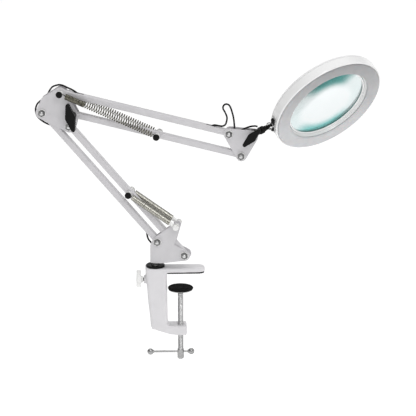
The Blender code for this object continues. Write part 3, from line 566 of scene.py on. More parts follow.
def soften(obj, voxel, rounds):
    """Remeshes a solid and smooths its edges, as moulding or casting leaves them."""
    mod = obj.modifiers.new("voxels", "REMESH")
    mod.mode = "VOXEL"
    mod.voxel_size = voxel * MM
    mod.use_smooth_shade = True
    mod = obj.modifiers.new("smooth", "SMOOTH")
    mod.iterations = rounds
    mod.factor = 0.6
    bake(obj)
    obj.data.shade_smooth()


def smooth_route(points, spacing):
    """Evenly spaced points on a Catmull-Rom curve through the given ones."""
    knots = [Vector(p) for p in points]
    knots = [2 * knots[0] - knots[1], *knots, 2 * knots[-1] - knots[-2]]
    fine = []
    for a, b, c, d in zip(knots, knots[1:], knots[2:], knots[3:]):
        for i in range(16):
            t = i / 16
            linear = (c - a) * t
            square = (2 * a - 5 * b + 4 * c - d) * t * t
            cube = (3 * b - a - 3 * c + d) * t * t * t
            fine.append((2 * b + linear + square + cube) / 2)
    fine.append(knots[-2])
    total = sum((q - p).length for p, q in zip(fine, fine[1:]))
    count = max(2, round(total / spacing))
    step = total / count
    route, walked = [fine[0]], 0
    for p, q in zip(fine, fine[1:]):
        length = (q - p).length
        while len(route) < count and walked + length >= step * len(route):
            route.append(p.lerp(q, (step * len(route) - walked) / length))
        walked += length
    return [*route, fine[-1]]


def route_length(route):
    return sum((q - p).length for p, q in zip(route, route[1:]))


def tube(route, radius, sides=12):
    """A round tube along a route, its ends closed; ring i has vertices i*sides onward."""
    bm = bmesh.new()
    side = None
    rings = []
    for i, here in enumerate(route):
        way = (route[min(i + 1, len(route) - 1)] - route[max(i - 1, 0)]).normalized()
        if side is None:
            side = way.orthogonal().normalized()
        side = (side - way * side.dot(way)).normalized()
        up = way.cross(side)
        ring = []
        for k in range(sides):
            a = TAU * k / sides
            ring.append(bm.verts.new(here + side * (radius * math.cos(a)) + up * (radius * math.sin(a))))
        rings.append(ring)
    return skin(bm, rings)


def weigh(obj):
    """Bakes obj's placement into its mesh."""
    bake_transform(obj)


def smoothstep(t):
    t = np.clip(t, 0, 1)
    return t * t * (3 - 2 * t)


# Camera and light.
def aim(obj, target):
    obj.rotation_euler = (Vector(target) - obj.location).to_track_quat("-Z", "Y").to_euler()


def in_scene(name, data):
    obj = bpy.data.objects.new(name, data)
    bpy.context.scene.collection.objects.link(obj)
    return obj


def make_camera():
    azimuth, elevation = math.radians(CAMERA_AZIMUTH), math.radians(CAMERA_ELEVATION)
    outward = Vector((math.sin(azimuth) * math.cos(elevation), -math.cos(azimuth) * math.cos(elevation),
                      math.sin(elevation)))
    right = Vector((math.cos(azimuth), math.sin(azimuth), 0))
    up = outward.cross(right)
    shoulder = ARM @ Vector((SHOULDER[0], 0, SHOULDER[1]))
    target = (shoulder + right * VIEW_RIGHT + up * VIEW_UP) * MM
    data = bpy.data.cameras.new("camera")
    data.sensor_width = SENSOR
    data.lens = SENSOR * CAMERA_DISTANCE / (VIEW_WIDTH * MM)
    data.clip_end = 60
    camera = in_scene("camera", data)
    camera.location = target + outward * CAMERA_DISTANCE
    aim(camera, target)
    bpy.context.scene.camera = camera


def make_lights():
    for name, spot_at, size, power in (
        ("key", (0.7, -2.2, 2.4), 1.2, 20),
        ("fill", (-1.4, -2.4, 0.9), 1.8, 2.5),
        ("rim", (-0.4, 2.2, 2.6), 1.6, 12),
    ):
        light = bpy.data.lights.new(name, "AREA")
        light.size = size
        light.energy = power
        lamp = in_scene(name, light)
        lamp.location = spot_at
        aim(lamp, (0.05, 0, 0.12))


def make_sky():
    """A pale surround, with a darker band above the horizon and a darker left side."""
    world = bpy.data.worlds.new("studio")
    bpy.context.scene.world = world
    world.use_nodes = True
    nt = world.node_tree
    way = nt.nodes.new("ShaderNodeTexCoord").outputs["Generated"]
    split = add_node(nt, "SeparateXYZ", {"Vector": way})
    ramp = add_node(nt, "ValToRGB", {"Fac": ranged(nt, split.outputs["Z"], (-1, 1))})
    bands = ((0, 1), (0.56, 1), (0.66, 0.42), (0.80, 0.40), (0.92, 1.15), (1, 1.3))
    while len(ramp.color_ramp.elements) < len(bands):
        ramp.color_ramp.elements.new(0.5)
    for element, (at, level) in zip(ramp.color_ramp.elements, bands):
        element.position = at
        element.color = (level, level, level, 1)
    background = nt.nodes["Background"]
    nt.links.new(ramp.outputs["Color"], background.inputs["Color"])
    left = ranged(nt, split.outputs["X"], (-1, -0.1), (0.45, 1))
    nt.links.new(left, background.inputs["Strength"])
    bpy.context.scene.view_settings.view_transform = "Standard"


def make_floor():
    floor = bmesh.new()
    bmesh.ops.create_grid(floor, x_segments=2, y_segments=2, size=FLOOR_REACH)
    stage = place("floor", floor, None, None, Matrix.Translation((0, 0, FLOOR_Z)))
    pale = bpy.data.materials.new("pale_floor")
    pale.use_nodes = True
    shader = pale.node_tree.nodes["Principled BSDF"]
    for socket, value in (
        ("Base Color", (0.97, 0.97, 0.97, 1)),
        ("Roughness", 0.9),
        ("Specular IOR Level", 0),
        ("Emission Color", (1, 1, 1, 1)),
        ("Emission Strength", 0.25),
    ):
        shader.inputs[socket].default_value = value
    stage.data.materials.append(pale)


make_camera()
make_lights()
make_sky()
make_floor()


# Leads.
def drop_points():
    """From the clip on the bracket down behind the swivel to the hank."""
    x, y, z = ARM @ Vector((*CLIP_HOLE, CLIP_EXIT))
    entry = HANK_X - RUN_R[0]
    return [(x, y, z), (x, y, 31), (x - 0.6, y + 3.4, 25.6), (x - 2.4, y + 9, 20.6),
            (SWIVEL_X, 20.6, 15), (SWIVEL_X - 0.6, 22, 8.6), (SWIVEL_X - 2.2, 21.6, 2.4),
            (entry + 0.9, 19.8, -1.8), (entry, 18.6, -5.2)]


def layer_depth(layer):
    return HANK_FRONT + CABLE_R * (1 + 2 * layer)


def hank_points():
    """Nine turns, wound inside and outside by turns over the layers, then the way out."""
    top = HANK_ARCH
    low = top - HANK_RUN
    inner, outer = RUN_R
    turns = [(0, inner), (0, outer), (1, outer), (1, inner), (2, inner), (2, outer), (3, outer),
             (3, inner), (4, inner), (4, outer)]
    points = []
    for (layer, radius), following in zip(turns, [*turns[1:], None]):
        y = layer_depth(layer)
        points += [(HANK_X - radius, y, top - 1), (HANK_X - radius, y, top - HANK_RUN * 0.33)]
        if following is None:
            break
        points.append((HANK_X - radius, y, top - HANK_RUN * 0.66))
        points += [(x, y, z) for x, z in arc((HANK_X, low), radius, 180, 360, 8)]
        points += [(HANK_X + radius, y, low + HANK_RUN * t) for t in (0.33, 0.66)]
        next_layer, next_radius = following
        for i in range(8):
            t = i / 8
            r = radius + (next_radius - radius) * t
            a = math.pi * t
            next_y = y + (layer_depth(next_layer) - y) * t
            points.append((HANK_X + r * math.cos(a), next_y, top + r * math.sin(a)))
    plug_top = low - PLUG_DROP
    y = layer_depth(HANK_LAYERS - 1)
    swing = 14
    turn = math.degrees(math.acos(1 - (outer + inner) / 2 / swing))
    drop = 2 * swing * math.sin(math.radians(turn))
    first = (HANK_X - outer + swing, plug_top + drop)
    second = (HANK_X + inner - swing, plug_top)
    points += [(x, y, z) for x, z in arc(first, swing, 180, 180 + turn, 4)]
    points += [(x, y, z) for x, z in arc(second, swing, turn, 0, 4)][1:]
    points.append((HANK_X + inner, y, plug_top - 1.5))
    return points


def hank_tie():
    """A rubber band round the middle of the hank."""
    middle = HANK_ARCH - HANK_RUN / 2
    outer = RUN_R[1] + CABLE_R + 0.35
    back = HANK_FRONT + HANK_LAYERS * 2 * CABLE_R
    wall = 0.9
    outline = rounded_rectangle((HANK_X - outer - wall, HANK_X + outer + wall),
                                (HANK_FRONT - 0.3 - wall, back + 0.3 + wall), 3)
    hole = rounded_rectangle((HANK_X - outer, HANK_X + outer), (HANK_FRONT - 0.3, back + 0.3), 2.2)
    return worked("cable_tie", prism(outline, middle - 4, middle + 4, "Z"), "rubber", "clamp", WORLD,
                  "hank_tie", [(CUT, prism(hole, middle - 9, middle + 9, "Z"))], edge=0.3)


def power_lead():
    route = smooth_route([*drop_points(), *hank_points()], 1.3)
    lead = place("power_cord", tube(route, CABLE_R, 10), "cable", None, WORLD)
    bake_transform(lead)
    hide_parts("power_lead", "power_hank")
    band = hank_tie()
    plug = power_plug(HANK_ARCH - HANK_RUN - PLUG_DROP, layer_depth(HANK_LAYERS - 1))


def power_plug(plug_top, y):
    at = Matrix.Translation((HANK_X + RUN_R[0], y, plug_top))
    relief = [(0, 0.6), (1.6, 0.6), (1.95, 0)]
    for i in range(6):
        z = -0.8 - 1.2 * i
        r = 2 + 0.16 * i
        relief += [(r, z), (r, z - 0.55), (r - 0.35, z - 0.6), (r - 0.35, z - 1.15)]
    relief += [(3, -8.2), (0, -8.2)]
    wide, thick = 5.9, 3.7
    outline = rounded_rectangle((-wide, wide), (-thick, thick), 2)
    sections = []
    for z, inset in ((-7.6, 1.4), (-8.2, 0.5), (-9.4, 0), (-21.8, 0), (-22.4, 0.3), (-22.6, 0.7)):
        sections.append([(px * (1 - inset / wide), py * (1 - inset / thick), z) for px, py in outline])
    grip = place("plug_grip", merge([lathe(relief, 32), loft(sections)]), "black", "clamp", at, "usb_plug")
    outline = rounded_rectangle((-5.8, 5.8), (-2.2, 2.2), 0.5, 3)
    mouth = prism(rounded_rectangle((-5.4, 5.4), (-1.8, 1.8), 0.3, 3), -36, -23.5, "Z")
    windows = [block((x - 1.1, x + 1.1), (-4, 4), (-30, -27.8)) for x in (-2.9, 2.9)]
    shell = worked("plug_shell", prism(outline, -34, -22, "Z"), "steel", "clamp", at, None,
                   [(CUT, mouth), (CUT, merge(windows))])
    tongue = place("plug_tongue", block((-5, 5), (-0.2, 1.5), (-33.2, -23)), "black", "clamp", at,
                   bevel=0.15)
    return [grip, shell, tongue]


def captive_lead(name, at, points, node, first_moves):
    """A length of lead running between two joined bodies, hung on neither; its points are told from at."""
    route = smooth_route([(x + at[0], y, z + at[1]) for x, y, z in points], 0.9)
    sides = 12
    obj = place(name, tube(route, CABLE_R, sides), "cable", None, ARM)
    walk = np.linspace(0, 1, len(route))
    share = smoothstep((walk - 0.12) / 0.76)
    if first_moves:
        share = 1 - share
    weigh(obj)
    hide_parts(node)
    if route_length(route) < SHORTEST_CORD:
        return


def arm_leads():
    shoulder = [(-15.7, 0, 71.2), (-13.6, 0, 66.3), (-12.8, 0.4, 60.3), (-12.4, 2.6, 54.4),
                (-11.4, 6.2, 48.4), (-8, 8.6, 42.8), (-5, 8.9, 39), (-1.8, 8.7, 38.2)]
    captive_lead("lead_shoulder", (0, 0), shoulder, "shoulder_lead",
                 True)
    left = [(3.8, 9.4, 18), (-4, 9.4, 14.8), (-10.2, 9.2, 8.6), (-12.6, 8.8, 0.8), (-11.4, 7.4, -5.8),
            (-8.2, 5, -10.2), (-3.2, 2.4, -13.4), (2.6, 0.8, -16.4), (8.4, 0, -18.6),
            (13.6, 0, -20), (18.5, 0, -22.6)]
    captive_lead("lead_elbow_left", ELBOW, left, "elbow_lead_left", False)
    over = [(32.5, 0, -6.6), (27.5, 0, -3.6), (22.5, 0, 0.8), (16.5, 0.4, 4.2), (9.5, 1, 6.9),
            (2.5, 2.2, 9.4), (-3.5, 3.6, 9.8), (-9, 5.6, 7.9), (-14.5, 8, 4.8), (-19, 9.4, -1.2),
            (-22.4, 9.4, -8), (-23.2, 9.4, -11.4)]
    captive_lead("lead_elbow_top", UPPER_TOP, over, "elbow_lead_top", True)
    loop = [(-34, 0, 6.9), (-29, 0, 8.2), (-23.5, -0.5, 11), (-16.5, -1.4, 10.6),
            (-10.5, -2.4, 10.6), (-6.2, -3.3, 14), (-4.2, -3.9, 20.5), (-3.8, -4.1, 27.5),
            (-6.4, -4.2, 35.4), (-9.4, -3.9, 41.4), (-9.6, -2.4, 45.6), (-6.6, 0, 48.6),
            (-2.2, 2.4, 46.8), (0.5, 3.8, 41), (2.6, 4, 33.5), (4.4, 3.6, 26),
            (5.6, 2.6, 18.4), (6.4, 1.2, 12), (7, 0, 6.6)]
    foot, squat = 10.6, 0.87
    loop = [(x, y, z if z < foot else foot + squat * (z - foot)) for x, y, z in loop]
    captive_lead("lead_head_loop", HEAD_TOP, loop, "head_loop_lead", True)
    link = [(16, 0, 4.6), (23.5, 0, 8.6), (30.5, 0, 11.4), (37.1, 0, 12.5), (41.1, 0, 11.9)]
    captive_lead("lead_knuckle", HEAD_TOP, link, "knuckle_lead", False)

    for name, at, angle, body, ends in (
        ("lead_in_lower_bar", SHOULDER, LOWER_ANGLE, "lower_bar_left", (30, 227.8)),
        ("lead_in_upper_bar", UPPER_TOP, UPPER_ANGLE, "upper_bar_top", (33.2, 222.3)),
    ):
        run = [Vector((x, 0, -0.2)) for x in np.linspace(*ends, 24)]
        place(name, tube(run, CABLE_R, 10), "cable", body, spot(at, angle))


# Clamp.
def repaint(obj, paint):
    obj.data.materials.clear()
    obj.data.materials.append(PAINT[paint])


def clamp_pieces():
    casting = in_scene("clamp_casting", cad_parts["clamp_body"].data.copy())
    combine(casting, moved(rod("X", 6.4, -54.2, -44, 40), 0, 0, THUMB_Z), WORLD, JOIN)
    combine(casting, moved(rod("X", THUMB_HOLE_R, -70, -44, 32), 0, 0, THUMB_Z), WORLD, CUT)
    soften(casting, 0.75, 8)
    repaint(casting, "cast")
    settle(casting, "clamp", "clamp_body")

    outline = hull([(-18.5, 9, 1.6), (-18.5, -9, 1.6), (26.5, 1.7, 8.7), (26.5, -1.7, 8.7)])
    middles = np.arange(-14, 33, 3.6)
    grooves = [block((x - 0.45, x + 0.45), (-14, 14), (-0.5, 0.35)) for x in middles]
    worked("jaw_rubber", prism(outline, 0, 2 - FIT, "Z"), "rubber", "clamp", WORLD, "jaw_pad",
           [(CUT, merge(grooves))], edge=0.25)

    profile = [(6.3, -45), (7.7, -45), (7.7, JAW_TOP + FIT), (14, JAW_TOP + FIT), (14, 11.2),
               (13.2, 12), (6.3, 12)]
    hole = moved(rod("X", THUMB_HOLE_R, -20, -5, 32), SWIVEL_X, 0, THUMB_Z)
    worked("swivel_bush", lathe(rounded(profile, 0.5), 72), "black", "clamp",
           Matrix.Translation((SWIVEL_X, 0, 0)), "socket_bush", [(CUT, hole)], tools_at=WORLD)


def thread(radius, low, high, depth, pitch, sides=36):
    """The outside of a screw thread as stacked rings, its ends closed."""
    rings_a_turn = 6
    rings = []
    count = int(round((high - low) / pitch * rings_a_turn))
    for k in range(count + 1):
        z = low + (high - low) * k / count
        fade = min(1, (z - low) / pitch, (high - z) / pitch)
        ring = []
        for i in range(sides):
            a = TAU * i / sides
            phase = (z / pitch - i / sides) % 1
            r = radius - depth * fade * abs(2 * phase - 1)
            ring.append((r * math.cos(a), r * math.sin(a), z))
        rings.append(ring)
    return loft(rings)


def screw_pieces():
    tail = [(0, SCREW_END), (3.2, SCREW_END), (4.6, SCREW_END + 1.4), (4.6, -121.2), (3.9, -120.3),
            (0, -120.3)]
    lever_hole = moved(rod("X", 1.75, -9, 9, 32), 0, 0, TOMMY_Z)
    worked("screw_tail", lathe(rounded(tail, RIM_ROUND), 48), "steel", "clamp_screw", WORLD,
           "clamp_screw", [(CUT, lever_hole)])
    threaded = thread(SCREW_R, -120.4, -33.4, 0.4, PITCH)
    place("screw_thread", threaded, "zinc", "clamp_screw", WORLD, sharp=50)
    neck = [(0, -33.6), (3.9, -33.6), (3.4, -32.4), (2.6, -31.8), (2.6, -29), (0, -29)]
    place("screw_neck", lathe(neck, 48), "steel", "clamp_screw", WORLD)

    dish = [(2.9, -31.5), (6, -31.5), (8, -29.6), (12, -28.4), (17.7, -27.5), (18, -27),
            (18, -26.4), (2.9, -26.4)]
    place("pad_cup", lathe(rounded(dish, 0.5), 72), "steel", "pressure_pad", WORLD, "pad_dish")
    top = [(0, -26.1), (18.3, -26.1), (18.8, -25.5), (18.8, -24.8), (18.3, PAD_TOP)]
    for r in (16.2, 13.4, 10.6, 7.8, 5):
        top += [(r + 0.5, PAD_TOP), (r + 0.3, PAD_TOP - 0.5), (r - 0.3, PAD_TOP - 0.5), (r - 0.5, PAD_TOP)]
    top.append((0, PAD_TOP))
    place("pad_face", lathe(top, 72), "rubber", "pressure_pad", WORLD, "pad_rubber")

    lever = Matrix.Translation((0, 0, TOMMY_Z))
    rod_shape = lathe(rounded(cylinder(1.45, -47, 17.7), 0.3), 32)
    place("lever_rod", turned(rod_shape, "X"), "steel", "tommy_bar", lever, "tommy_rod")
    ball_r = 4.6
    for side, x, inward in (("left", -45, 1), ("right", 15.7, -1)):
        bead = [(0, -ball_r)]
        for a in np.linspace(0.12, math.pi - 0.62, 22):
            bead.append((ball_r * math.sin(a), -ball_r * math.cos(a)))
        bead += [(2.5, 4.1), (2.3, 5.2), (1.5, 5.3), (0, 5.3)]
        ball = moved(spun([(r, h * inward) for r, h in bead], 48, "X"), x, 0, 0)
        place(f"lever_ball_{side}", ball, "steel", "tommy_bar", lever, f"tommy_ball_{side}")


def thumb_screw_pieces():
    at = Matrix.Translation((THUMB_X, 0, THUMB_Z))
    sections = []
    for x, inset in ((-3.2, 1.6), (-3, 0.7), (-2.3, 0), (2.3, 0), (3, 0.7), (3.2, 1.6)):
        ring = []
        for i in range(120):
            a = TAU * i / 120
            r = 12.4 + 1.6 * math.cos(5 * a) - inset
            ring.append((x, r * math.cos(a), r * math.sin(a)))
        sections.append(ring)
    hub = rounded([(0, 2), (5.6, 2), (4.6, 6.6), (0, 6.6)], 0.5)
    button = rounded([(0, -3.1), (4.4, -3.1), (5.2, -1.9), (0, -1.9)], 0.3)
    steps = [(JOIN, spun(hub, 48, "X")), (CUT, rod("X", 8.2, -4, -2.2, 64)),
             (JOIN, spun(button, 48, "X"))]
    worked("thumb_grip", loft(sections), "pale", "thumb_screw", at, "thumb_knob", steps)
    stud = thread(2.9, 5.6, SWIVEL_X - 6.3 - THUMB_X, 0.4, 1, 28)
    place("thumb_thread", turned(stud, "X"), "steel", "thumb_screw", at, "thumb_stud", sharp=50)


# Bolts and posts.
def hexagon(across, low, high):
    """A hexagon nut along Y with chamfered corners."""
    sections = []
    sixth = math.radians(60)
    corner = across / 2 / math.cos(sixth / 2)
    for t, scale in ((0, 0.93), (0.12, 1), (0.88, 1), (1, 0.93)):
        y = low + (high - low) * t
        ring = []
        for i in range(36):
            a = TAU * i / 36
            flat = across / 2 / math.cos((a + sixth / 2) % sixth - sixth / 2)
            r = min(flat, corner * scale)
            ring.append((r * math.cos(a), y, r * math.sin(a)))
        sections.append(ring)
    return loft(sections)


def bolt(name, at, body, node, front=True):
    """A shank with a washer and acorn nut in front and a washer and nut behind."""
    near = PLATE_OUT + FIT
    nut_across = 9.4
    shapes = [rod("Y", 2.2, -near - 0.4, near + 0.4)]
    washers = []
    if front:
        washer = rounded([(2.3, -near - 1), (6.1, -near - 0.8), (6.1, -near), (2.3, -near)], 0.15, 2)
        washers.append(spun(washer, 40, "Y"))
        shapes.append(hexagon(nut_across, -near - 3, -near - 1.05))
        dome = [(0, -near - 5.6)]
        for a in np.linspace(0.15, math.pi / 2, 10):
            dome.append((3.1 * math.sin(a), -near - 3.1 - 2.5 * math.cos(a)))
        dome.append((0, -near - 3.1))
        place(f"{name}_dome", spun(dome, 40, "Y"), "zinc", body, spot(at))
    washer = rounded([(2.3, near), (6.1, near), (6.1, near + 0.8), (2.3, near + 1)], 0.15, 2)
    washers.append(spun(washer, 40, "Y"))
    place(f"{name}_washers", merge(washers), "pale", body, spot(at))
    shapes.append(hexagon(nut_across, near + 1.05, near + 3.3))
    end = rounded([(0, near + 3.2), (2.2, near + 3.2), (2.2, near + 3.9), (0, near + 3.9)], 0.3)
    shapes.append(spun(end, 24, "Y"))
    place(name, merge(shapes), "chrome", body, spot(at), node, sharp=28)


def post(name, at, body, node):
    """A black cap in front, a white spool on each side for the hooks, and a push-on nut behind."""
    cap = [(0, -17.8), (3, -17.8), (4.3, -17.4), (4.9, -16.5), (4.9, -14.9), (4.6, -14.6), (0, -14.6)]
    place(f"{name}_cap", spun(cap, 48, "Y"), "black", body, spot(at), node)
    foot = PLATE_OUT + FIT
    profile = [(0, 14.4), (4.9, 14.4), (4.9, 13.6), (2.2, 13.3), (2.2, 9.9), (4.2, 9.6), (4.2, foot),
               (0, foot)]
    for side, sign in (("front", -1), ("rear", 1)):
        spool = spun([(r, sign * y) for r, y in profile], 48, "Y")
        place(f"{name}_spool_{side}", spool, "pale", body, spot(at))
    place(f"{name}_core", rod("Y", 2, -PLATE_OUT - 1, PLATE_OUT + 1), "steel", body, spot(at))
    nut = rounded([(0, 14.2), (3.4, 14.2), (3.4, 14.9), (2.4, 16.2), (0, 16.6)], RIM_ROUND)
    place(f"{name}_nut", spun(nut, 36, "Y"), "chrome", body, spot(at))


def wing(name, at, length, half_width, height, lean, node):
    """A two-winged knob with a boss and finger ribs; its body has the node's name."""
    base = PLATE_OUT + FIT
    tip_r = 3
    reach = length / 2 - tip_r
    tips = [along(lean, reach), along(lean, -reach)]
    sections = []
    rise = (-base - 9.6, -base - 9.9, -base - 10.9, -height + 1.3, -height + 0.4, -height)
    for y, inset in zip(rise, (1.2, 0.5, 0, 0, 0.5, 1.4)):
        circles = [(0, 0, half_width - inset), (*tips[0], tip_r - inset), (*tips[1], tip_r - inset)]
        sections.append(even_outline(hull(circles, 72), 120, y))
    knob = place(name, loft(sections), "black", None, spot(at))
    boss = [(0, -height + 1), (half_width - 3, -height + 1), (half_width - 2, -height + 2),
            (half_width - 1.6, -base), (0, -base)]
    combine(knob, spun(boss, 48, "Y"), spot(at), JOIN)
    ribs = []
    for side in (-1, 1):
        for k in range(4):
            out = reach - 1.5 - 3.2 * k
            centre = along(lean, side * out)
            width = tip_r + (half_width - tip_r) * (1 - out / reach) + 0.5
            for end in (-1, 1):
                x, z = plus(centre, along(lean + 90, end * width))
                ribs.append(moved(rod("Y", 0.85, -height - 1, -base - 9, 12), x, 0, z))
    combine(knob, merge(ribs), spot(at), CUT)
    soften(knob, 0.42, 3)
    repaint(knob, "black")
    settle(knob, node, node)


def even_outline(outline, count, y):
    """The outline's points again, evenly spaced, from a fixed start."""
    closed = [*outline, outline[0]]
    steps = [math.dist(p, q) for p, q in zip(closed, closed[1:])]
    marks = np.concatenate(([0], np.cumsum(steps)))
    places = np.linspace(0, marks[-1], count, endpoint=False)
    xs = np.interp(places, marks, [p[0] for p in closed])
    zs = np.interp(places, marks, [p[1] for p in closed])
    points = list(zip(xs, zs))
    start = min(range(count), key=lambda i: (math.atan2(points[i][1], points[i][0]) - 0.1) % TAU)
    points = points[start:] + points[:start]
    return [(x, y, z) for x, z in points]


# Arm.
def plate_pair(part, outline, places, at, body):
    """The front and rear plates of an elbow or head bracket, with their bolt holes."""
    for side, low, high in (("front", -PLATE_OUT, -SLOT_HALF), ("rear", SLOT_HALF, PLATE_OUT)):
        worked(f"plate_{part}_{side}", prism(outline, low, high), "paint", body, spot(at),
               f"{part}_plate_{side}", [(CUT, merge(bolt_holes(places)))], edge=0.35)


def bar(name, at, angle, node, post_at=None, slots=()):
    """A square tube with round corners and its holes; its body has the node's name."""
    half = BAR_SIDE / 2
    inner = half - BAR_WALL
    ends = (-BAR_END, ARM_LENGTH + BAR_END)
    outer_ring = rounded_rectangle((-half, half), (-half, half), 1.3)
    inner_ring = rounded_rectangle((-inner, inner), (-inner, inner), 0.6)
    sections = [(ends[0], inner_ring), (ends[0], outer_ring), (ends[1], outer_ring), (ends[1], inner_ring)]
    bm = bmesh.new()
    skin(bm, [[bm.verts.new((x, y, z)) for y, z in ring] for x, ring in sections], joined=True)
    places = [(0, 0), (ARM_LENGTH, 0)]
    if post_at is not None:
        places.append((post_at, 0))
    cutters = bolt_holes(places)
    for low, high in slots:
        outline = hull([(low + 1.9, 0, 1.9), (high - 1.9, 0, 1.9)], 32)
        cutters.append(prism(outline, inner - 0.5, half + 2, "Z"))
    worked(name, bm, "paint", node, spot(at, angle), node, [(CUT, merge(cutters))], edge=0.18)


def spring_weights(start, end, pivot, limits):
    """Shares of the turn, along the straight line, that keep it straightest over the range."""
    start, end, pivot = (np.array(p) for p in (start, end, pivot))
    stations = np.linspace(0, 1, 41)
    tried = np.linspace(0, 1, 201)
    turns = np.radians(np.linspace(*limits, 13))

    def about(point, angle):
        """The point turned about the pivot, clockwise for a positive joint value."""
        c, s = np.cos(angle), np.sin(angle)
        x, z = point[0] - pivot[0], point[1] - pivot[1]
        return np.stack([pivot[0] + x * c + z * s, pivot[1] - x * s + z * c], -1)

    shares = []
    for t in stations:
        here = start + (end - start) * t
        cost = np.zeros(len(tried))
        for turn in turns:
            far = about(end, turn)
            way = far - start
            way = way / np.linalg.norm(way)
            gone = about(here, tried * turn)
            off = (gone[:, 0] - start[0]) * way[1] - (gone[:, 1] - start[1]) * way[0]
            cost += off * off
        shares.append(tried[int(np.argmin(cost))])
    shares[0], shares[-1] = 0, 1
    shares = np.maximum.accumulate(shares)
    return stations, shares


def spring(name, start, end, y, pivot, limits, turns, open_turns, node, hooks, paint="spring"):
    """A wound tension spring with a hook round a post at each end."""
    a, b = Vector((start[0], y, start[1])), Vector((end[0], y, end[1]))
    way = (b - a).normalized()
    side = Vector((0, 1, 0))
    up = way.cross(side)
    radius = SPRING_R - WIRE_R
    length = (b - a).length
    first, last = hooks[0], length - hooks[1]
    steps = 14
    closed_run = turns * 2 * WIRE_R * 1.02
    coil = []
    for i in range((turns + open_turns) * steps + 1):
        n = i / steps
        if n <= turns:
            s = first + closed_run * n / turns
        else:
            s = first + closed_run + (last - first - closed_run) * (n - turns) / open_turns
        angle = TAU * n
        coil.append(a + way * s + side * (radius * math.cos(angle)) + up * (radius * math.sin(angle)))

    def eye(centre, sign):
        """The loop round a post."""
        reach = 2.2 + WIRE_R + 0.35
        points = []
        for k in range(17):
            angle = math.radians(-30 + 300 * k / 16)
            across = way * (-sign * reach * math.cos(angle - math.pi / 2))
            points.append(centre + across + up * (reach * math.sin(angle - math.pi / 2)))
        return points

    lift, aside = up * 1.2, side * (radius * 0.5)
    route = [*eye(a, 1), a + way * (first * 0.55) + lift, a + way * (first - 1.2) + aside, *coil]
    route += [b - way * (hooks[1] - 1.2) + aside, b - way * (hooks[1] * 0.55) + lift, *reversed(eye(b, -1))]
    sides = 7
    obj = place(name, tube(route, WIRE_R, sides), paint, None, ARM)
    stations, shares = spring_weights(start, end, pivot, limits)
    weigh(obj)
    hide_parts(node)


def sleeve(name, start, end, y, pivot, limits, reach):
    """A pale sleeve over the hooked end of a spring."""
    a, b = Vector((start[0], y, start[1])), Vector((end[0], y, end[1]))
    way = (b - a).normalized()
    route = [a + way * s for s in np.linspace(*reach, 8)]
    sides = 28
    obj = place(name, tube(route, 3.1, sides), "pale", None, ARM)
    stations, shares = spring_weights(start, end, pivot, limits)
    weigh(obj)


def base_pieces():
    at = spot((0, 0))
    lower = hull([(-4.5, 18, 2), (-4.5, 43, 2), (*SHOULDER, 8), (*LOW_RIGHT, 8), (8, 18, 2)])
    upper = hull([(*SHOULDER, 8), (*BASE_ANCHOR, 4.8), (24, 44, 5), (8, 34, 4)])
    steps = [(JOIN, prism(upper, -PLATE_OUT - 0.001, PLATE_OUT + 0.001)),
             (CUT, block((-SLOT_HALF, 90), (-SLOT_HALF, SLOT_HALF), (0, 99))),
             (CUT, block((-20, -2), (-SLOT_HALF, SLOT_HALF), (44.6, 99))),
             (CUT, merge(bolt_holes((SHOULDER, LOW_RIGHT, BASE_ANCHOR))))]
    worked("bracket_sheet", prism(lower, -PLATE_OUT, PLATE_OUT), "paint", "base_bracket", at,
           "base_bracket", steps, edge=0.35)

    pin = [(0, -44), (5, -44), (6, -43), (6, 12.4), (5.2, 12.8), (5.2, 14), (6, 14.4),
           (6, 15.7), (4.7, 15.7), (4.7, 40.5), (3.9, 41.3), (0, 41.3)]
    place("socket_pin", lathe(rounded(pin, RIM_ROUND), 56), "chrome", "base_bracket", at, "swivel_pin")
    bolt("bolt_base_left", SHOULDER, "base_bracket", "base_bolt_left")
    bolt("bolt_base_right", LOW_RIGHT, "base_bracket", "base_bolt_right")
    foot = PLATE_OUT + FIT
    stud = [(0, 17.4), (2.8, 17.4), (3.9, 16.9), (4.4, 16), (4.4, 14.5), (1.9, 14.3), (1.9, 9.7),
            (4.2, 9.5), (4.2, foot), (1.9, foot), (1.9, 5.3), (0, 5.3)]
    for side, sign in (("front", -1), ("rear", 1)):
        shape = spun([(r, sign * y) for r, y in stud], 48, "Y")
        place(f"anchor_{side}", shape, "pale", "base_bracket", spot(BASE_ANCHOR), f"base_stud_{side}")
    worked("cable_clip", block((-1, 6), (foot, 10.6), (35, 41)), "black", "base_bracket", at,
           "lead_clip", [(CUT, moved(rod("Z", 1.6, 30, 46), *CLIP_HOLE, 0))], edge=0.6)


def lower_arm_pieces():
    bar("bar_lower_left", SHOULDER, LOWER_ANGLE, "lower_bar_left", None, [(16, 29), (220, 238)])
    bar("bar_lower_right", LOW_RIGHT, LOWER_ANGLE, "lower_bar_right", LOWER_POST_AT)
    post("post_lower", LOWER_POST, "lower_bar_right", "lower_spring_post")
    limits = (-9, 70)
    for side, y in (("front", -SPRING_Y), ("rear", SPRING_Y)):
        spring(f"coil_lower_{side}", BASE_ANCHOR, LOWER_POST, y, LOW_RIGHT, limits, 50, 3,
               f"lower_spring_{side}", (11, 6.5))
        sleeve(f"sleeve_{side}", BASE_ANCHOR, LOWER_POST, y, LOW_RIGHT, limits, (5, 11.6))


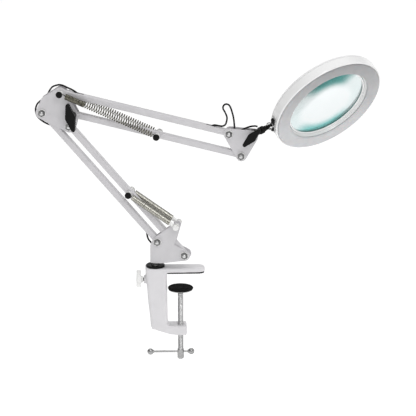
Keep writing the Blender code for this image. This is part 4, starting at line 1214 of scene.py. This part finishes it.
def elbow_pieces():
    low_pivot = plus(ELBOW_ANCHOR, UPPER_LINK)
    circles = [(0, 0, 9.5), (*LOWER_LINK, 9.2), (*ELBOW_ANCHOR, 8.6), (3.6, 19.6, 5),
               (*low_pivot, 8.4)]
    plate_pair("elbow", hull(circles), [(0, 0), LOWER_LINK, ELBOW_ANCHOR, low_pivot], ELBOW, "elbow")
    bolt("bolt_elbow_left", ELBOW, "elbow", "elbow_bolt_left")
    bolt("bolt_elbow_right", plus(ELBOW, LOWER_LINK), "elbow", "elbow_bolt_right")
    post("post_elbow", UPPER_TOP, "elbow", "elbow_spring_post")
    bolt("bolt_elbow_knob", UPPER_LOW, "elbow", "elbow_knob_bolt", front=False)
    wing("knob_elbow", UPPER_LOW, 43, 7.8, 25, 102.8, "elbow_knob")


def upper_arm_pieces():
    slots = [(18, 34), (ARM_LENGTH - 37, ARM_LENGTH - 22)]
    bar("bar_upper_top", UPPER_TOP, UPPER_ANGLE, "upper_bar_top", None, slots)
    bar("bar_upper_low", UPPER_LOW, UPPER_ANGLE, "upper_bar_low", UPPER_POST_AT)
    post("post_upper", UPPER_POST, "upper_bar_low", "upper_spring_post")
    for side, y in (("front", -SPRING_Y), ("rear", SPRING_Y)):
        spring(f"coil_upper_{side}", UPPER_TOP, UPPER_POST, y, UPPER_LOW,
               (-70, 26), 24, 30, f"upper_spring_{side}", (9, 7), "oiled_and_shaded")


# Head.
def crossed_slots(width, low, high, axis):
    """The two cuts of a cross recess, made one after the other."""
    steps = []
    for wide, thin in ((width, 0.3), (0.3, width)):
        if axis == "X":
            steps.append((CUT, block((low, high), (-wide, wide), (-thin, thin))))
        else:
            steps.append((CUT, block((-wide, wide), (-thin, thin), (low, high))))
    return steps


def bracket_pieces():
    circles = [(0, 0, 8.4), (*UPPER_LINK, 8), (*TILT_PIVOT, 6.4), (35, -8.2, 5.2)]
    plate_pair("head", hull(circles), [(0, 0), UPPER_LINK, TILT_PIVOT], HEAD_TOP, "head_bracket")
    bolt("bolt_head_top", HEAD_TOP, "head_bracket", "head_bolt_top")
    bolt("bolt_head_low", HEAD_LOW, "head_bracket", "head_bolt_low")
    bolt("bolt_tilt", TILT, "head_bracket", "tilt_bolt", front=False)
    wing("knob_head", TILT, 37, 6.6, 23, 47.5, "head_knob")


def stem_pieces():
    at = spot(TILT, STEM_ANGLE)
    eye = rounded(cylinder(6, -SLOT_HALF + FIT, SLOT_HALF - FIT), RIM_ROUND)
    nose = rounded([(0, 2), (4.6, 2), (4.6, 8.4), (5.6, 9.4), (5.6, 13.4), (0, 13.4)], RIM_ROUND)
    steps = [(JOIN, spun(nose, 56, "X")), (CUT, rod("X", 2.9, 7.6, 15, 32)),
             (CUT, rod("Y", HOLE_R, -9, 9, 32))]
    worked("knuckle", spun(eye, 56, "Y"), "black", "tilt_knuckle", at, "tilt_knuckle", steps)

    profile = [(0, 8.2), (2.6, 8.2), (2.6, 13.7), (5.6, 13.7), (5.6, 16), (4.2, 17.4), (3.6, 21.7),
               (0, 21.7)]
    tongue = lathe(rounded(cylinder(4.3, -2, 2), 0.3), 48)
    bridge = block((0, 9), (-3.2, 3.2), (-1.8, 1.8))
    bmesh.ops.rotate(bridge, matrix=Matrix.Rotation(BRIDGE_TURN, 3, "Z"), verts=bridge.verts)
    steps = [(JOIN, tongue), (JOIN, bridge), (CUT, rod("Z", 1.8, -6, 6, 32))]
    worked("stem", spun(rounded(profile, 0.5), 56, "X"), "black", "head_stem", at, "head_stem",
           steps, tools_at=PIN_AT)


def yoke_pieces():
    inside, first, last = HEAD_R + FIT, 170.5, 189.5
    strap = arc((0, 0), inside, first, last, 24)
    strap += list(reversed(arc((0, 0), inside + 1.5, first, last, 24)))
    ear = hull([(0, 0, 4.3), (5.2, -3.4, 0.6), (5.2, 3.4, 0.6)], 48)
    steps = [(JOIN, prism(ear, low, high, "Z")) for low, high in ((2.3, 3.9), (-3.9, -2.3))]
    steps.append((CUT, rod("Z", 1.8, -9, 9, 32)))
    worked("yoke", prism(strap, -5, 5, "Z"), "zinc", "lamp_head", LENS_AT, "head_yoke", steps,
           edge=0.25, tools_at=PIN_AT)
    head = rounded([(0, 1.6), (3.3, 1.6), (3.3, 3.4), (2.6, 4.4), (0, 4.7)], 0.2)
    for k, angle in enumerate((173.2, 186.8)):
        at = LENS_AT @ Matrix.Rotation(math.radians(angle), 4, "Z") @ Matrix.Translation((HEAD_R, 0, 0))
        worked(f"yoke_screw_{k}", spun(head, 36, "X"), "black", "lamp_head", at, None,
               crossed_slots(2, 3.8, 5.4, "X"))
    pin = [(0, -5.6), (1.8, -5.6), (2.4, -5.1), (2.4, -4.2), (1.5, -4.2), (1.5, 4.2), (2.4, 4.2),
           (2.4, 5.1), (1.8, 5.6), (0, 5.6)]
    place("hinge_pin", lathe(pin, 32), "steel", "lamp_head", PIN_AT, "yoke_pin")


def ring_pieces():
    shell = [(HEAD_R, -5.8), (HEAD_R, 7.2), (87.6, 8.3), (86.1, 8.6), (86.1, 7), (82.6, 7),
             (82.6, 0.4), (69.6, 0.4), (69.6, 7), (66.2, 7), (65.2, 8), (63.7, 1.9), (63.7, -2.1),
             (61.2, -2.1), (61.2, -3.5), (66, -3.5), (66, -1.2), (85.4, -1.2), (85.4, -5.8)]
    back = [(HEAD_R, -6.1), (HEAD_R, -7.4), (86.9, -9.3), (85, -10), (65, -10), (63.8, -9.4),
            (61.3, -3.8), (62.8, -3.8), (65.2, -8.4), (85.2, -8.4), (85.2, -6.1)]
    ring = [(66.4, 7.3), (85.8, 7.3), (85.8, 9.2), (84.8, 10.3), (68, 10.4), (65.6, 9.2), (65.4, 8.2)]
    retainer = [(60.8, 2.1), (63.4, 2.1), (63.4, 3.4), (61.4, 3.4)]
    for name, profile, corner, steps, paint, node in (
        ("ring_housing", shell, 0.6, 4, "abs", "head_housing"),
        ("ring_back", back, 0.6, 4, "abs", "head_back_cover"),
        ("light_ring", ring, 1, 5, "diffuser", "diffuser_ring"),
        ("glass_ring", retainer, 0.25, 3, "abs", "lens_retainer"),
    ):
        place(name, lathe(rounded(profile, corner, steps), 160), paint, "lamp_head", LENS_AT, node)


def cover_screws():
    head = rounded([(0, -0.6), (2.6, -0.6), (2.6, 0.2), (1.8, 0.8), (0, 1)], 0.2)
    facing_back = Matrix.Translation((75, 0, -10)) @ Matrix.Rotation(math.pi, 4, "X")
    for k in range(4):
        at = LENS_AT @ Matrix.Rotation(math.radians(45 + 90 * k), 4, "Z") @ facing_back
        worked(f"cover_screw_{k}", lathe(head, 32), "steel", "lamp_head", at, None,
               crossed_slots(1.5, 0.4, 2, "Z"))


def lens():
    """A glass bulging to both sides, with a teal edge that also glows as painted light."""
    rim, edge, crown = 63.3, 1.5, 3.5
    face = [(rim * r / 16, edge + crown * (1 - (r / 16) ** 2)) for r in range(17)]
    outline = [(r, -z) for r, z in face] + [(r, z) for r, z in reversed(face)]
    glass = place("lens_glass", lathe(outline, 128), "glass", "lamp_head", LENS_AT, "lens", sharp=50)
    glass.data.materials.append(PAINT["teal"])
    turned_back = LENS_AT.inverted() @ Matrix.Scale(1 / MM, 4)
    for polygon in glass.data.polygons:
        middle = turned_back @ polygon.center
        if math.hypot(middle.x, middle.y) > rim - 0.05:
            polygon.material_index = 1


power_lead()
arm_leads()
clamp_pieces()
screw_pieces()
thumb_screw_pieces()
base_pieces()
lower_arm_pieces()
elbow_pieces()
upper_arm_pieces()
bracket_pieces()
stem_pieces()
yoke_pieces()
ring_pieces()
lens()
cover_screws()
repaint(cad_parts["led_board"], "board")
